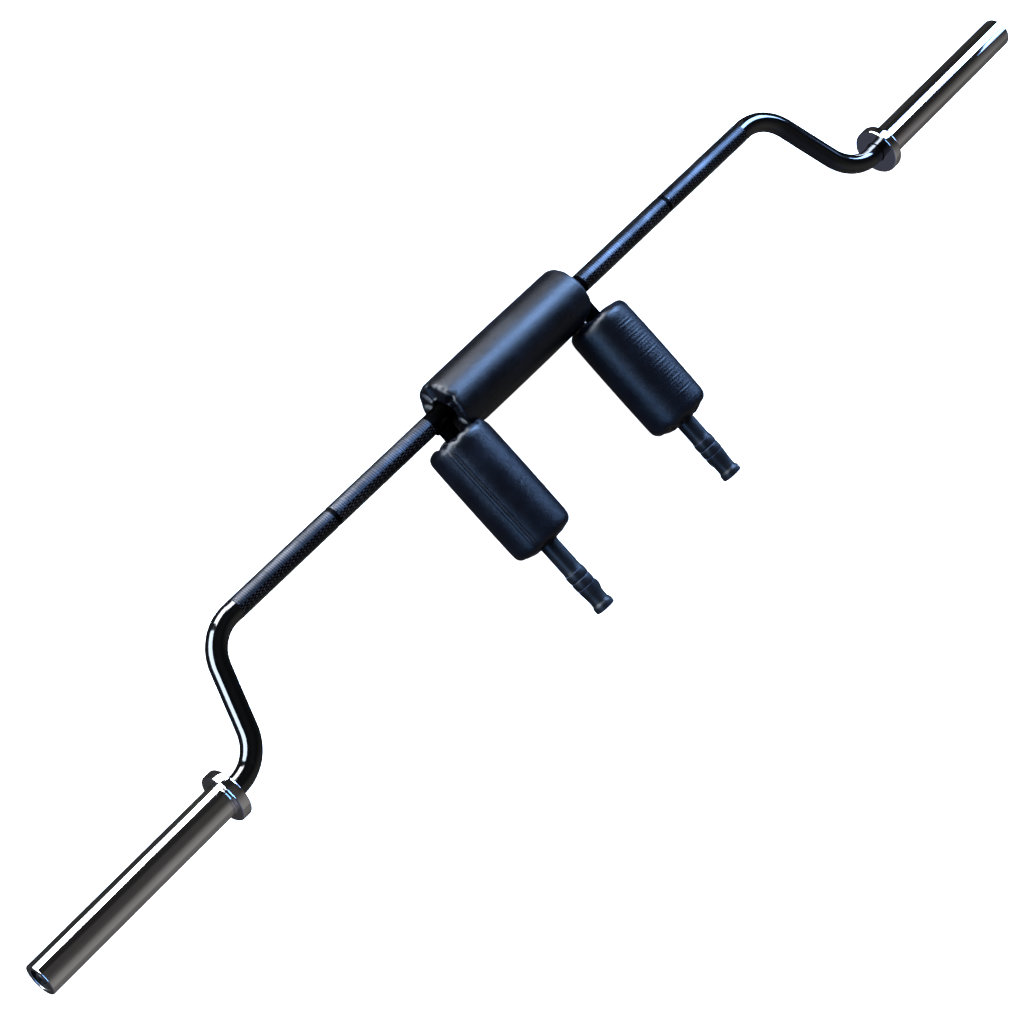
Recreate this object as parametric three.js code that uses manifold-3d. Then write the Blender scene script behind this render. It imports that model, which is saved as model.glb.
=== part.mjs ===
// Safety squat bar: a cambered steel shaft with two padded arms, rubber grips and chromed sleeves that turn.
// Millimetres, +Z up. X runs along the bar and the arms point along -Y. The bar lies on its arm pads, on the
// plane Z = 0, and the origin is on that plane under the middle of the bar's own box.
import * as THREE from "three";
import { mergeVertices } from "three/addons/utils/BufferGeometryUtils.js";
import Module from "manifold-3d";

const wasm = await Module();
wasm.setup();

// Shaft: one solid round bar, bent twice at each end and turned down inside the sleeves
const shaftDiameter = 31;
const bendCorner = 639; // from the middle of the bar to the corner of the first bend's centre lines
const bendDegrees = 69.5;
const bendRadius = 68;
const camber = 170.5; // how far the sleeves' axis lies in front of the shaft's
const collarLead = 12; // straight bar between the second bend and the collar
const shoulderDepth = 8; // full-size bar that runs on inside the collar
const journalDiameter = 25;
const journalChamfer = 1.5;

// Clearances
const seatGap = 0.3; // between two pieces that touch
const runningGap = 0.25; // on the radius, between a journal and its bushing
const endPlay = 0.6; // along the axis, at each end of a turning sleeve
const cutOverrun = 6; // how far a cutting shape runs past what it cuts
const pointTolerance = 0.0001; // points nearer than this are one

// Sleeves
const sleeveDiameter = 50;
const sleeveLength = 357;
const sleeveEndRound = 1.6;
const sleeveMouthChamfer = 1;
const boreClearance = 1.25; // on the radius, between the full-size shaft and the sleeve's bore
const collarDiameter = 77;
const collarThickness = 17;
const collarRound = 3;

// Bearings and the fastening at the sleeve's end
const bushingLength = 45;
const bushingChamfer = 0.8;
const thrustThickness = 2.5;
const retainerThickness = 3;
const retainerRecess = 7; // from the sleeve's end to the washer's outer face
const boltDiameter = 12;
const boltReach = 30; // shank below the head
const boltHeadDiameter = 21;
const boltHeadHeight = 5.6;
const boltHeadRim = 1.6; // straight rim of the button head
const socketAcross = 8;
const socketDepth = 3.6;
const holeClearance = 0.4; // on the radius, between the bolt's shank and its hole
const holeSpare = 4; // depth of the hole past the bolt's tip

// Arms
const armSpacing = 311.5; // between the two arms' axes
const armReach = 363; // from the shaft's axis to the grip's end
const armTubeDiameter = 25.4;
const armTubeWall = 2.5;
const weldLeg = 4;

// Grips: moulded rubber, closed at the end
const gripLength = 134;
const gripWall = 1.7; // rubber over the tube on the plain stretch
const gripRingRise = 1.5; // the rings stand this far above the plain stretch
const gripWaistDip = 0.8;
const gripFlareRise = 1.5;
const gripEndWall = 3;
const gripEndRound = 2;
const gripRingPitch = 13.6; // between the three grooves
const gripGrooveToEnd = 70.6; // from the grip's end to the first groove
const gripGrooveDepth = 0.7; // below the plain stretch
const gripRidgeRise = 3.2; // a finger ridge on one side, after the third groove
const gripRidgeLength = 23;
const gripFlareLength = 14;
const gripRidgeTurns = { left: 0, right: -100 }; // degrees that each grip is turned on its tube

// Pads: a foam tube in a sewn cover, drawn in at both ends by an elastic in the hem
const neckPadDiameter = 96;
const neckPadLeft = 141; // from the middle of the bar to the pad's left end
const neckPadRight = 149;
const armPadDiameter = 101;
const armPadLength = 204;
const armPadStarts = { left: 34, right: 50 }; // from the shaft's axis: each pad is slid on by hand
const padFlat = 0.5; // depth of the flat on which a pad rests
const padCrown = 0.8; // the pad is this much thicker in the middle, on the radius
const neckPadRound = 9; // rounding at the ends of the neck pad
const armPadRound = 14;
const coverThickness = 1.4;
const foamGap = 0.5; // between the foam and the cover
const foamEndGap = 5; // between the foam's end and the rolled hem
const foamClearance = 0.4; // on the radius, between the foam and the bar in it
const hemRadius = 3.4; // of the rolled hem that holds the elastic
const hemClearance = 3; // on the radius, between the hem and the bar in it
const gatherCount = 10;
const gatherHeight = 1.5;
const padPressGap = 1.8; // between two pads that press on each other
const pressFade = 36; // depth over which a pressed place dies away
const neckPressFadeShare = 0.8; // the same behind an arm pad, as a share of that
const pressEdge = 14; // width over which a pressed place begins
const foamChamferShare = 0.75; // of the rounding at the pad's end
const nearRingShare = 0.6; // an extra ring of points behind a pressed place, as a share of its depth

// Facets
const shaftSides = 24;
const bendSteps = 8;
const tubeSides = 24;
const sleeveSides = 36;
const padSides = 3 * gatherCount;
const weldSteps = 24;
const weldSides = 6;

// Sizes worked out from the ones above
const sides = { left: -1, right: 1 };
const shaftRadius = shaftDiameter / 2;
const journalRadius = journalDiameter / 2;
const sleeveRadius = sleeveDiameter / 2;
const sleeveBoreRadius = shaftRadius + boreClearance;
const armRadius = armTubeDiameter / 2;
const armX = armSpacing / 2;
const gripRadius = armRadius + seatGap + gripWall;
const neckPadRadius = neckPadDiameter / 2;
const armPadRadius = armPadDiameter / 2;
const axisHeight = Math.max(neckPadRadius, armPadRadius) - padFlat;
const bendAngle = THREE.MathUtils.degToRad(bendDegrees);
const bendTangent = bendRadius * Math.tan(bendAngle / 2);
const outerCorner = bendCorner + camber / Math.tan(bendAngle);
const collarFace = outerCorner + bendTangent + collarLead; // from the middle of the bar to the collar
const retainerFace = sleeveLength - retainerRecess;
const journalEnd = retainerFace - retainerThickness - seatGap;
const armTubeEnd = armReach - gripEndWall - seatGap;
// The box runs from the back of the neck pad to the grips' ends, and the origin is at its middle
const middleY = (Math.max(neckPadRadius, shaftRadius) - armReach) / 2;

// A manifold solid of a three.js geometry
function solidOf(geometry) {
  const bare = geometry.index ? geometry.toNonIndexed() : geometry.clone();
  bare.deleteAttribute("normal");
  bare.deleteAttribute("uv");
  const merged = mergeVertices(bare, pointTolerance);
  return new wasm.Manifold(
    new wasm.Mesh({
      numProp: 3,
      vertProperties: new Float32Array(merged.attributes.position.array),
      triVerts: new Uint32Array(merged.index.array),
    }),
  );
}

// A three.js geometry of a manifold solid, with flat facets
function geometryOf(solid) {
  const mesh = solid.getMesh();
  const indexed = new THREE.BufferGeometry();
  indexed.setAttribute("position", new THREE.BufferAttribute(mesh.vertProperties, 3));
  indexed.setIndex(new THREE.BufferAttribute(mesh.triVerts, 1));
  const flat = indexed.toNonIndexed();
  flat.computeVertexNormals();
  return flat;
}

// Points of an arc in a profile, each [radius, height], from one angle to another in degrees
function arcPoints(centreR, centreH, radius, fromDegrees, toDegrees, steps) {
  const points = [];
  for (let i = 0; i <= steps; i++) {
    const a = THREE.MathUtils.degToRad(fromDegrees + ((toDegrees - fromDegrees) * i) / steps);
    points.push([centreR + radius * Math.cos(a), centreH + radius * Math.sin(a)]);
  }
  return points;
}

// A turned solid about +Y. The profile runs anticlockwise, radius to the right and height upwards, and
// closes on itself unless it starts and ends on the axis.
function turned(profile, segments) {
  const points = profile.map(([r, h]) => new THREE.Vector2(r, h));
  const onAxis = points[0].x === 0 && points.at(-1).x === 0;
  if (!onAxis) points.push(points[0].clone());
  return new THREE.LatheGeometry(points, segments);
}

// The profile of a plain ring with chamfered edges
function ringProfile(inner, outer, low, high, chamfer) {
  return [
    [inner, low],
    [outer - chamfer, low],
    [outer, low + chamfer],
    [outer, high - chamfer],
    [outer - chamfer, high],
    [inner, high],
  ];
}

// The centre line of the bent bar, as the stations that its facets need
class BarLine extends THREE.Curve {
  constructor() {
    super();
    const right = [];
    const corner = (centreX, centreY, turn, sign) => {
      right.push({
        point: new THREE.Vector3(
          centreX + sign * bendRadius * Math.sin(turn),
          centreY + sign * bendRadius * Math.cos(turn),
          0,
        ),
        tangent: new THREE.Vector3(Math.cos(turn), -Math.sin(turn), 0),
      });
    };
    for (let i = 0; i <= bendSteps; i++)
      corner(bendCorner - bendTangent, -bendRadius, (bendAngle * i) / bendSteps, 1);
    for (let i = bendSteps; i >= 0; i--)
      corner(outerCorner + bendTangent, bendRadius - camber, (bendAngle * i) / bendSteps, -1);
    right.push({
      point: new THREE.Vector3(collarFace + shoulderDepth, -camber, 0),
      tangent: new THREE.Vector3(1, 0, 0),
    });
    const left = right.map(({ point, tangent }) => ({
      point: new THREE.Vector3(-point.x, point.y, 0),
      tangent: new THREE.Vector3(tangent.x, -tangent.y, 0),
    }));
    this.stations = [...left.reverse(), ...right];
  }
  station(u) {
    return this.stations[Math.round(u * (this.stations.length - 1))];
  }
  getPointAt(u, target = new THREE.Vector3()) {
    return target.copy(this.station(u).point);
  }
  getTangentAt(u, target = new THREE.Vector3()) {
    return target.copy(this.station(u).tangent);
  }
}

function roundSection(radius) {
  const section = new THREE.Shape();
  section.absarc(0, 0, radius, 0, 2 * Math.PI);
  return section;
}

// A geometry turned so that its +Y points along the bar outwards, at a sleeve's inner end
function alongSleeve(geometry, side) {
  return geometry
    .clone()
    .rotateZ((-sides[side] * Math.PI) / 2)
    .translate(sides[side] * collarFace, -camber, 0);
}

function shaftGeometry() {
  const line = new BarLine();
  const bent = new THREE.ExtrudeGeometry(roundSection(shaftRadius), {
    steps: line.stations.length - 1,
    curveSegments: shaftSides / 2,
    extrudePath: line,
  });
  const journal = turned(
    [
      [0, shoulderDepth - cutOverrun],
      [journalRadius, shoulderDepth - cutOverrun],
      [journalRadius, journalEnd - journalChamfer],
      [journalRadius - journalChamfer, journalEnd],
      [0, journalEnd],
    ],
    tubeSides,
  );
  const holeBottom = journalEnd - boltReach - holeSpare;
  const holeRadius = boltDiameter / 2 + holeClearance;
  const hole = turned(
    [
      [0, holeBottom - holeRadius / 2],
      [holeRadius, holeBottom],
      [holeRadius, journalEnd + cutOverrun],
      [0, journalEnd + cutOverrun],
    ],
    tubeSides / 2,
  );
  let shaft = solidOf(bent);
  for (const side of Object.keys(sides)) {
    shaft = shaft.add(solidOf(alongSleeve(journal, side)));
    shaft = shaft.subtract(solidOf(alongSleeve(hole, side)));
  }
  return geometryOf(shaft);
}

// Sleeve pieces, each in the sleeve's own frame: +Y runs from the collar's inner face outwards
function sleeveTubeGeometry() {
  return turned(
    [
      [sleeveBoreRadius + sleeveMouthChamfer, 0],
      [sleeveRadius, 0],
      [sleeveRadius, sleeveLength - sleeveEndRound],
      [sleeveRadius - sleeveEndRound, sleeveLength],
      [sleeveBoreRadius + sleeveMouthChamfer, sleeveLength],
      [sleeveBoreRadius, sleeveLength - sleeveMouthChamfer],
      [sleeveBoreRadius, sleeveMouthChamfer],
    ],
    sleeveSides,
  );
}

function collarGeometry() {
  const inner = sleeveRadius + seatGap;
  const outer = collarDiameter / 2 - collarRound;
  return turned(
    [
      [inner, 0],
      ...arcPoints(outer, collarRound, collarRound, -90, 0, 3),
      ...arcPoints(outer, collarThickness - collarRound, collarRound, 0, 90, 3),
      [inner, collarThickness],
    ],
    sleeveSides,
  );
}

function bushingGeometry(start) {
  return turned(
    ringProfile(
      journalRadius + runningGap,
      sleeveBoreRadius - seatGap,
      start,
      start + bushingLength,
      bushingChamfer,
    ),
    tubeSides,
  );
}

const thrustStart = shoulderDepth + seatGap;
const innerBushingStart = thrustStart + thrustThickness + endPlay;
const outerBushingStart = journalEnd - endPlay - bushingLength;

function washerGeometry(inner, low, high) {
  const outer = sleeveBoreRadius - endPlay;
  return turned(
    [
      [inner, low],
      [outer, low],
      [outer, high],
      [inner, high],
    ],
    tubeSides,
  );
}

// A button-head bolt with a hexagon socket
function endBoltGeometry() {
  const seat = retainerFace + seatGap;
  const headRadius = boltHeadDiameter / 2;
  const domeHeight = boltHeadHeight - boltHeadRim;
  const domeFlat = socketAcross / 2 + boltHeadRim;
  const dome = [];
  const domeSteps = 3;
  for (let i = 0; i <= domeSteps; i++) {
    const a = (Math.PI / 2) * (i / domeSteps);
    dome.push([
      domeFlat + (headRadius - domeFlat) * Math.cos(a),
      seat + boltHeadRim + domeHeight * Math.sin(a),
    ]);
  }
  const blank = turned(
    [
      [0, seat - boltReach],
      [boltDiameter / 2 - journalChamfer, seat - boltReach],
      [boltDiameter / 2, seat - boltReach + journalChamfer],
      [boltDiameter / 2, seat],
      [headRadius, seat],
      ...dome,
      [0, seat + boltHeadHeight],
    ],
    tubeSides,
  );
  const socketRadius = socketAcross / Math.sqrt(3);
  const socket = new THREE.CylinderGeometry(socketRadius, socketRadius, socketDepth + cutOverrun, 6);
  socket.translate(0, seat + boltHeadHeight - socketDepth + (socketDepth + cutOverrun) / 2, 0);
  return geometryOf(solidOf(blank).subtract(solidOf(socket)));
}

// A cutting cylinder along the shaft, for the arms' coped ends and their welds
function shaftCutter() {
  const radius = (shaftRadius + seatGap) / Math.cos(Math.PI / shaftSides);
  const half = armTubeDiameter + weldLeg + cutOverrun;
  return solidOf(new THREE.CylinderGeometry(radius, radius, 2 * half, shaftSides).rotateZ(Math.PI / 2));
}

// Arm pieces, each in the arm's own frame: +Y runs from the shaft's axis to the grip's end
function armTubeGeometry() {
  const tube = turned(
    [
      [armRadius - armTubeWall, 0],
      [armRadius, 0],
      [armRadius, armTubeEnd],
      [armRadius - armTubeWall, armTubeEnd],
    ],
    tubeSides,
  );
  return geometryOf(solidOf(tube).subtract(shaftCutter()));
}

// The line where the arm's skin meets the shaft's
class SaddleLine extends THREE.Curve {
  getPoint(t, target = new THREE.Vector3()) {
    const across = armRadius * Math.cos(2 * Math.PI * t);
    const up = armRadius * Math.sin(2 * Math.PI * t);
    return target.set(across, Math.sqrt(Math.max(shaftRadius ** 2 - up ** 2, 0)), up);
  }
}

function armWeldGeometry() {
  const bead = new THREE.TubeGeometry(new SaddleLine(), weldSteps, weldLeg, weldSides, true);
  const armCutRadius = (armRadius + seatGap) / Math.cos(Math.PI / tubeSides);
  const reach = shaftDiameter + cutOverrun;
  const armCut = new THREE.CylinderGeometry(armCutRadius, armCutRadius, 2 * reach, tubeSides);
  return geometryOf(solidOf(bead).subtract(shaftCutter()).subtract(solidOf(armCut)));
}

// The grip's outer profile, from its open end to its closed one. Ridge points are lifted later, on one side.
function gripProfile() {
  const grooves = [0, 1, 2].map((i) => armReach - gripGrooveToEnd + i * gripRingPitch);
  const ring = gripRadius + gripRingRise;
  const points = [
    [gripRadius, armReach - gripLength],
    [gripRadius, grooves[0] - gripRingPitch / 4],
  ];
  for (const groove of grooves) {
    points.push([gripRadius - gripGrooveDepth, groove]);
    if (groove === grooves.at(-1)) break;
    points.push([ring, groove + gripRingPitch / 4]);
    points.push([ring, groove + (3 * gripRingPitch) / 4]);
  }
  const ridgeStart = grooves.at(-1);
  for (const share of [1 / 4, 1 / 2, 3 / 4]) points.push([gripRadius, ridgeStart + share * gripRidgeLength]);
  points.push([gripRadius - gripWaistDip, ridgeStart + gripRidgeLength]);
  points.push([gripRadius - gripWaistDip, armReach - gripFlareLength]);
  const flare = gripRadius + gripFlareRise;
  points.push([flare, armReach - 2 * gripEndRound]);
  points.push(...arcPoints(flare - gripEndRound, armReach - gripEndRound, gripEndRound, 0, 90, 2));
  return { points, ridgeStart };
}

function gripGeometry(side) {
  const bore = armRadius + seatGap;
  const { points, ridgeStart } = gripProfile();
  const grip = turned(
    [
      [0, armReach - gripEndWall],
      [bore, armReach - gripEndWall],
      [bore, armReach - gripLength],
      ...points,
      [0, armReach],
    ],
    tubeSides,
  );
  const facing = THREE.MathUtils.degToRad(gripRidgeTurns[side]);
  const position = grip.attributes.position;
  for (let i = 0; i < position.count; i++) {
    const x = position.getX(i);
    const z = position.getZ(i);
    const r = Math.hypot(x, z);
    const along = (position.getY(i) - ridgeStart) / gripRidgeLength;
    if (r <= bore || along <= 0 || along >= 1) continue;
    const facingShare = Math.max(0, (z * Math.sin(facing) - x * Math.cos(facing)) / r);
    const lift = gripRidgeRise * facingShare * Math.sin(Math.PI * along) ** 2;
    position.setX(i, (x * (r + lift)) / r);
    position.setZ(i, (z * (r + lift)) / r);
  }
  return grip;
}

// A smooth rise from 0 to 1 as the value runs between two bounds, in either direction
function smoothRise(from, to, value) {
  const t = THREE.MathUtils.clamp((value - from) / (to - from), 0, 1);
  return t * t * (3 - 2 * t);
}

// One end of a pad's cover, as profile points {s, r, ns, nr, weight}: s is the depth from the pad's end and
// r the radius, ns and nr the way out, and weight says how far the gathers lift the point
function coverEnd(openRadius, padRadius, endRound, inset, hemSteps, roundSteps) {
  const hemCentre = openRadius + hemRadius;
  const points = [];
  for (const [s, r] of arcPoints(hemRadius, hemCentre, hemRadius - inset, 0, -180, hemSteps))
    points.push({ s, r, ns: -1, nr: 0, weight: 0, inset });
  for (let i = 0; i <= roundSteps; i++) {
    const a = (Math.PI / 2) * (i / roundSteps);
    points.push({
      s: endRound - (endRound - inset) * Math.cos(a),
      r: padRadius - endRound + (endRound - inset) * Math.sin(a),
      ns: -Math.cos(a),
      nr: Math.sin(a),
      weight: Math.cos(a) + Math.sin(2 * a) / 2,
      inset,
    });
  }
  return points;
}

// Two triangles of a grid's cell. Both sides of a wall are split along the same way, so that they stay apart.
function facets(a, b, c, d, outward) {
  return outward ? [a, b, c, b, d, c] : [a, b, d, a, d, c];
}

// A closed surface through rings of points: the profile goes round the pad's wall, and each of its points is
// placed at each angle
function ringGrid(profile, place) {
  const position = [];
  for (const point of profile)
    for (let j = 0; j < padSides; j++)
      position.push(...place(point, (2 * Math.PI * (j + 1 / 2)) / padSides).toArray());
  const index = [];
  const at = (i, j) => (i % profile.length) * padSides + (j % padSides);
  const outward = (i) => profile[(i + 1) % profile.length].s >= profile[i].s;
  for (let i = 0; i < profile.length; i++)
    for (let j = 0; j < padSides; j++)
      index.push(...facets(at(i, j), at(i, j + 1), at(i + 1, j), at(i + 1, j + 1), outward(i)));
  const geometry = new THREE.BufferGeometry();
  geometry.setAttribute("position", new THREE.Float32BufferAttribute(position, 3));
  geometry.setIndex(index);
  const flat = geometry.toNonIndexed();
  flat.computeVertexNormals();
  return flat;
}

// A pad's cover, foam and elastics. barRadii are the bar's radii at the pad's two ends, and change at the depth
// barStep. ringShares say where each end has rings of points behind a pressed place, as shares of the depth of
// the pressing.
function padProfiles({ length, padRadius, endRound, barRadii, barStep, ringShares }) {
  const pressDepth = pressFade + 2 * hemRadius;
  const depths = [
    ...ringShares[0].map((share) => share * pressDepth),
    length / 2,
    ...ringShares[1].map((share) => length - share * pressDepth),
  ];
  const crown = (depth) => padCrown * (1 - (2 * depth / length - 1) ** 2);
  const cover = (inset, hemSteps, roundSteps) => {
    const [near, far] = barRadii.map((bar) =>
      coverEnd(bar + hemClearance, padRadius, endRound, inset, hemSteps, roundSteps),
    );
    const middle = depths.map((depth) => {
      return { s: depth, r: padRadius + crown(depth) - inset, ns: 0, nr: 1, weight: 0, inset };
    });
    const mirrored = far.reverse().map((p) => ({ ...p, s: length - p.s, ns: -p.ns }));
    return [...near, ...middle, ...mirrored];
  };
  const foamInset = coverThickness + foamGap;
  const foamOuter = padRadius - foamInset;
  const foamEnd = 2 * hemRadius + foamEndGap;
  const foamChamfer = endRound * foamChamferShare;
  const foamInner = barRadii[0] + foamClearance;
  const plain = (s, r) => ({ s, r, ns: 0, nr: 0, weight: 0, inset: foamInset });
  const widerBore = [
    plain(length - foamEnd, barRadii[1] + foamClearance),
    plain(barStep - foamClearance, barRadii[1] + foamClearance),
    plain(barStep - foamClearance, foamInner),
  ];
  const foamBore = barStep < length - foamEnd ? widerBore : [plain(length - foamEnd, foamInner)];
  return {
    cover: [...cover(0, 2, 3), ...cover(coverThickness, 2, 2).reverse()],
    foam: [
      plain(foamEnd, foamInner),
      plain(foamEnd, foamOuter - foamChamfer),
      plain(foamEnd + foamChamfer, foamOuter),
      ...depths.map((depth) => plain(depth, foamOuter + crown(depth))),
      plain(length - foamEnd - foamChamfer, foamOuter),
      plain(length - foamEnd, foamOuter - foamChamfer),
      ...foamBore,
    ],
    elastics: [0, 1].map((end) => {
      const centre = barRadii[end] + hemClearance + hemRadius;
      const depth = end === 0 ? hemRadius : length - hemRadius;
      const reach = hemRadius - coverThickness - seatGap;
      return arcPoints(depth, centre, reach, 0, -270, 3).map(([s, r]) => plain(s, r));
    }),
  };
}

// Gathers: folds that run out from the drawn-in hem and die away over the rounded end
function gathered(point, angle) {
  const lift = point.weight * gatherHeight * Math.cos(gatherCount * angle);
  return [point.s + point.ns * lift, point.r + point.nr * lift];
}

// Where the left or right arm pad reaches the neck pad, both give half: the depth in Y of the place they meet
function contactDepth(side) {
  return (armPadStarts[side] + neckPadRadius + padCrown) / 2;
}

function padsPress(side) {
  return armPadStarts[side] < neckPadRadius + padCrown + padPressGap + gatherHeight;
}

// The neck pad gives way to the arms' tubes and welds at its ends, and to an arm pad that presses on it
function pressNeckPad(v) {
  const side = v.x < 0 ? "left" : "right";
  const end = side === "left" ? neckPadLeft : neckPadRight;
  const deep = end - Math.abs(v.x);
  const armEdge = armX - armRadius - weldLeg - padPressGap - gatherHeight;
  const need = Math.max(0, end - armEdge);
  const front = smoothRise(hemRadius * 2, -hemRadius * 2, v.y);
  const level = smoothRise(armRadius + weldLeg + pressEdge * 1.5, armRadius + weldLeg, Math.abs(v.z));
  const shiftX = need * front * level * smoothRise(pressFade + 2 * hemRadius, 2 * hemRadius, deep);
  let shiftY = 0;
  if (padsPress(side) && v.y < 0) {
    const surface = Math.sqrt(Math.max((neckPadRadius + padCrown) ** 2 - v.z ** 2, 0));
    const give = Math.max(0, surface - contactDepth(side) + padPressGap / 2);
    const reach = armX - armPadRadius;
    const along = smoothRise(reach - pressEdge / 2, reach + pressEdge / 2, Math.abs(v.x));
    const fade = smoothRise(pressFade * neckPressFadeShare, 2 * hemRadius, surface + v.y);
    shiftY = give * along * fade;
  }
  v.x -= sides[side] * shiftX;
  v.y += shiftY;
  return v;
}

// An arm pad that presses on the neck pad gives way on its inner side
function pressArmPad(v, side) {
  if (!padsPress(side)) return v;
  const start = armPadStarts[side];
  const neckEnd = side === "left" ? neckPadLeft : neckPadRight;
  const surface = Math.sqrt(Math.max((neckPadRadius + padCrown) ** 2 - v.z ** 2, 0));
  const meet = Math.min(contactDepth(side), surface) + padPressGap / 2 + gatherHeight;
  const give = Math.max(0, meet - start);
  const along = smoothRise(neckEnd + 2 * pressEdge, neckEnd + seatGap, Math.abs(v.x));
  const fade = smoothRise(pressFade + 2 * hemRadius, 2 * hemRadius, -v.y - start);
  v.y -= give * along * fade;
  return v;
}

// A pad is flattened where it rests, each layer at its own depth
function restFlat(v, inset) {
  v.z = Math.max(v.z, inset - axisHeight);
  return v;
}

function neckPadGeometries() {
  const profiles = padProfiles({
    length: neckPadLeft + neckPadRight,
    padRadius: neckPadRadius,
    endRound: neckPadRound,
    barRadii: [shaftRadius, shaftRadius],
    barStep: neckPadLeft + neckPadRight,
    ringShares: [[nearRingShare, 1], [1]],
  });
  const place = (point, angle) => {
    const [s, r] = gathered(point, angle);
    const v = new THREE.Vector3(s - neckPadLeft, r * Math.cos(angle), r * Math.sin(angle));
    return restFlat(pressNeckPad(v), point.inset);
  };
  return {
    cover: ringGrid(profiles.cover, place),
    foam: ringGrid(profiles.foam, place),
    elastics: profiles.elastics.map((profile) => ringGrid(profile, place)),
  };
}

// The grip's radius under a pad that covers so much of it: the pad's bore passes whatever ring or ridge it covers
function coveredGripRadius(covered) {
  const plainLength = gripLength - gripGrooveToEnd - gripRingPitch / 4;
  const rise = Math.max(gripRingRise, gripRidgeRise, gripFlareRise);
  return covered < plainLength ? gripRadius : gripRadius + rise;
}

function armPadGeometries(side) {
  const barStep = armReach - gripLength - armPadStarts[side];
  const profiles = padProfiles({
    length: armPadLength,
    padRadius: armPadRadius,
    endRound: armPadRound,
    barRadii: [armRadius, coveredGripRadius(armPadLength - barStep)],
    barStep,
    ringShares: [[1], []],
  });
  const place = (point, angle) => {
    const [s, r] = gathered(point, angle);
    const x = sides[side] * armX + r * Math.cos(angle);
    const v = new THREE.Vector3(x, -armPadStarts[side] - s, r * Math.sin(angle));
    return restFlat(pressArmPad(v, side), point.inset);
  };
  return {
    cover: ringGrid(profiles.cover, place),
    foam: ringGrid(profiles.foam, place),
    elastics: profiles.elastics.map((profile) => ringGrid(profile, place)),
  };
}

// Materials, one for each finish
const finishes = {
  blackSteel: { color: 0x0b0c0e, roughness: 0.22, metalness: 0.6 },
  weldSteel: { color: 0x0d0e10, roughness: 0.35, metalness: 0.5 },
  chrome: { color: 0xc9ccd1, roughness: 0.06, metalness: 1 },
  bronze: { color: 0xa9773f, roughness: 0.35, metalness: 1 },
  zincSteel: { color: 0x8d9196, roughness: 0.35, metalness: 1 },
  rubber: { color: 0x15171a, roughness: 0.7, metalness: 0 },
  vinyl: { color: 0x121418, roughness: 0.5, metalness: 0 },
  foam: { color: 0x26282b, roughness: 0.95, metalness: 0 },
  elastic: { color: 0x1b1c1f, roughness: 0.9, metalness: 0 },
};

function mesh(name, geometry, finish) {
  const made = new THREE.Mesh(geometry, new THREE.MeshStandardMaterial(finishes[finish]));
  made.name = name;
  return made;
}

const bar = new THREE.Group();
bar.position.set(0, -middleY, axisHeight);
bar.add(mesh("shaft", shaftGeometry(), "blackSteel"));

const sleeveTube = sleeveTubeGeometry();
const collar = collarGeometry();
const innerBushing = bushingGeometry(innerBushingStart);
const outerBushing = bushingGeometry(outerBushingStart);
const thrustWasher = washerGeometry(
  journalRadius + runningGap,
  thrustStart,
  thrustStart + thrustThickness,
);
const retainingWasher = washerGeometry(
  boltDiameter / 2 + holeClearance,
  retainerFace - retainerThickness,
  retainerFace,
);
const endBolt = endBoltGeometry();
const armTube = armTubeGeometry();
const armWeld = armWeldGeometry();

for (const side of Object.keys(sides)) {
  const sleeve = new THREE.Group();
  sleeve.position.set(sides[side] * collarFace, -camber, 0);
  sleeve.rotation.z = (-sides[side] * Math.PI) / 2;
  sleeve.add(
    mesh(side + "_sleeve_tube", sleeveTube, "chrome"),
    mesh(side + "_collar", collar, "chrome"),
    mesh(side + "_inner_bushing", innerBushing, "bronze"),
    mesh(side + "_outer_bushing", outerBushing, "bronze"),
    mesh(side + "_thrust_washer", thrustWasher, "zincSteel"),
    mesh(side + "_retaining_washer", retainingWasher, "zincSteel"),
    mesh(side + "_end_bolt", endBolt, "zincSteel"),
  );
  bar.add(sleeve);

  const arm = new THREE.Group();
  arm.position.set(sides[side] * armX, 0, 0);
  arm.rotation.z = Math.PI;
  arm.add(
    mesh(side + "_arm_tube", armTube, "blackSteel"),
    mesh(side + "_arm_weld", armWeld, "weldSteel"),
    mesh(side + "_grip", gripGeometry(side), "rubber"),
  );
  bar.add(arm);

  const pad = armPadGeometries(side);
  bar.add(
    mesh(side + "_arm_pad_cover", pad.cover, "vinyl"),
    mesh(side + "_arm_pad_foam", pad.foam, "foam"),
    mesh(side + "_arm_pad_inner_elastic", pad.elastics[0], "elastic"),
    mesh(side + "_arm_pad_outer_elastic", pad.elastics[1], "elastic"),
  );
}

const neckPad = neckPadGeometries();
bar.add(
  mesh("neck_pad_cover", neckPad.cover, "vinyl"),
  mesh("neck_pad_foam", neckPad.foam, "foam"),
  mesh("neck_pad_left_elastic", neckPad.elastics[0], "elastic"),
  mesh("neck_pad_right_elastic", neckPad.elastics[1], "elastic"),
);

const part = new THREE.Group();
part.add(bar);
export default part;
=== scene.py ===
import random
from math import atan2, cos, degrees, exp, hypot, pi, radians, sin, sqrt, tan
import bmesh
import bpy
from mathutils import Matrix, Vector
from mathutils.bvhtree import BVHTree


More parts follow.
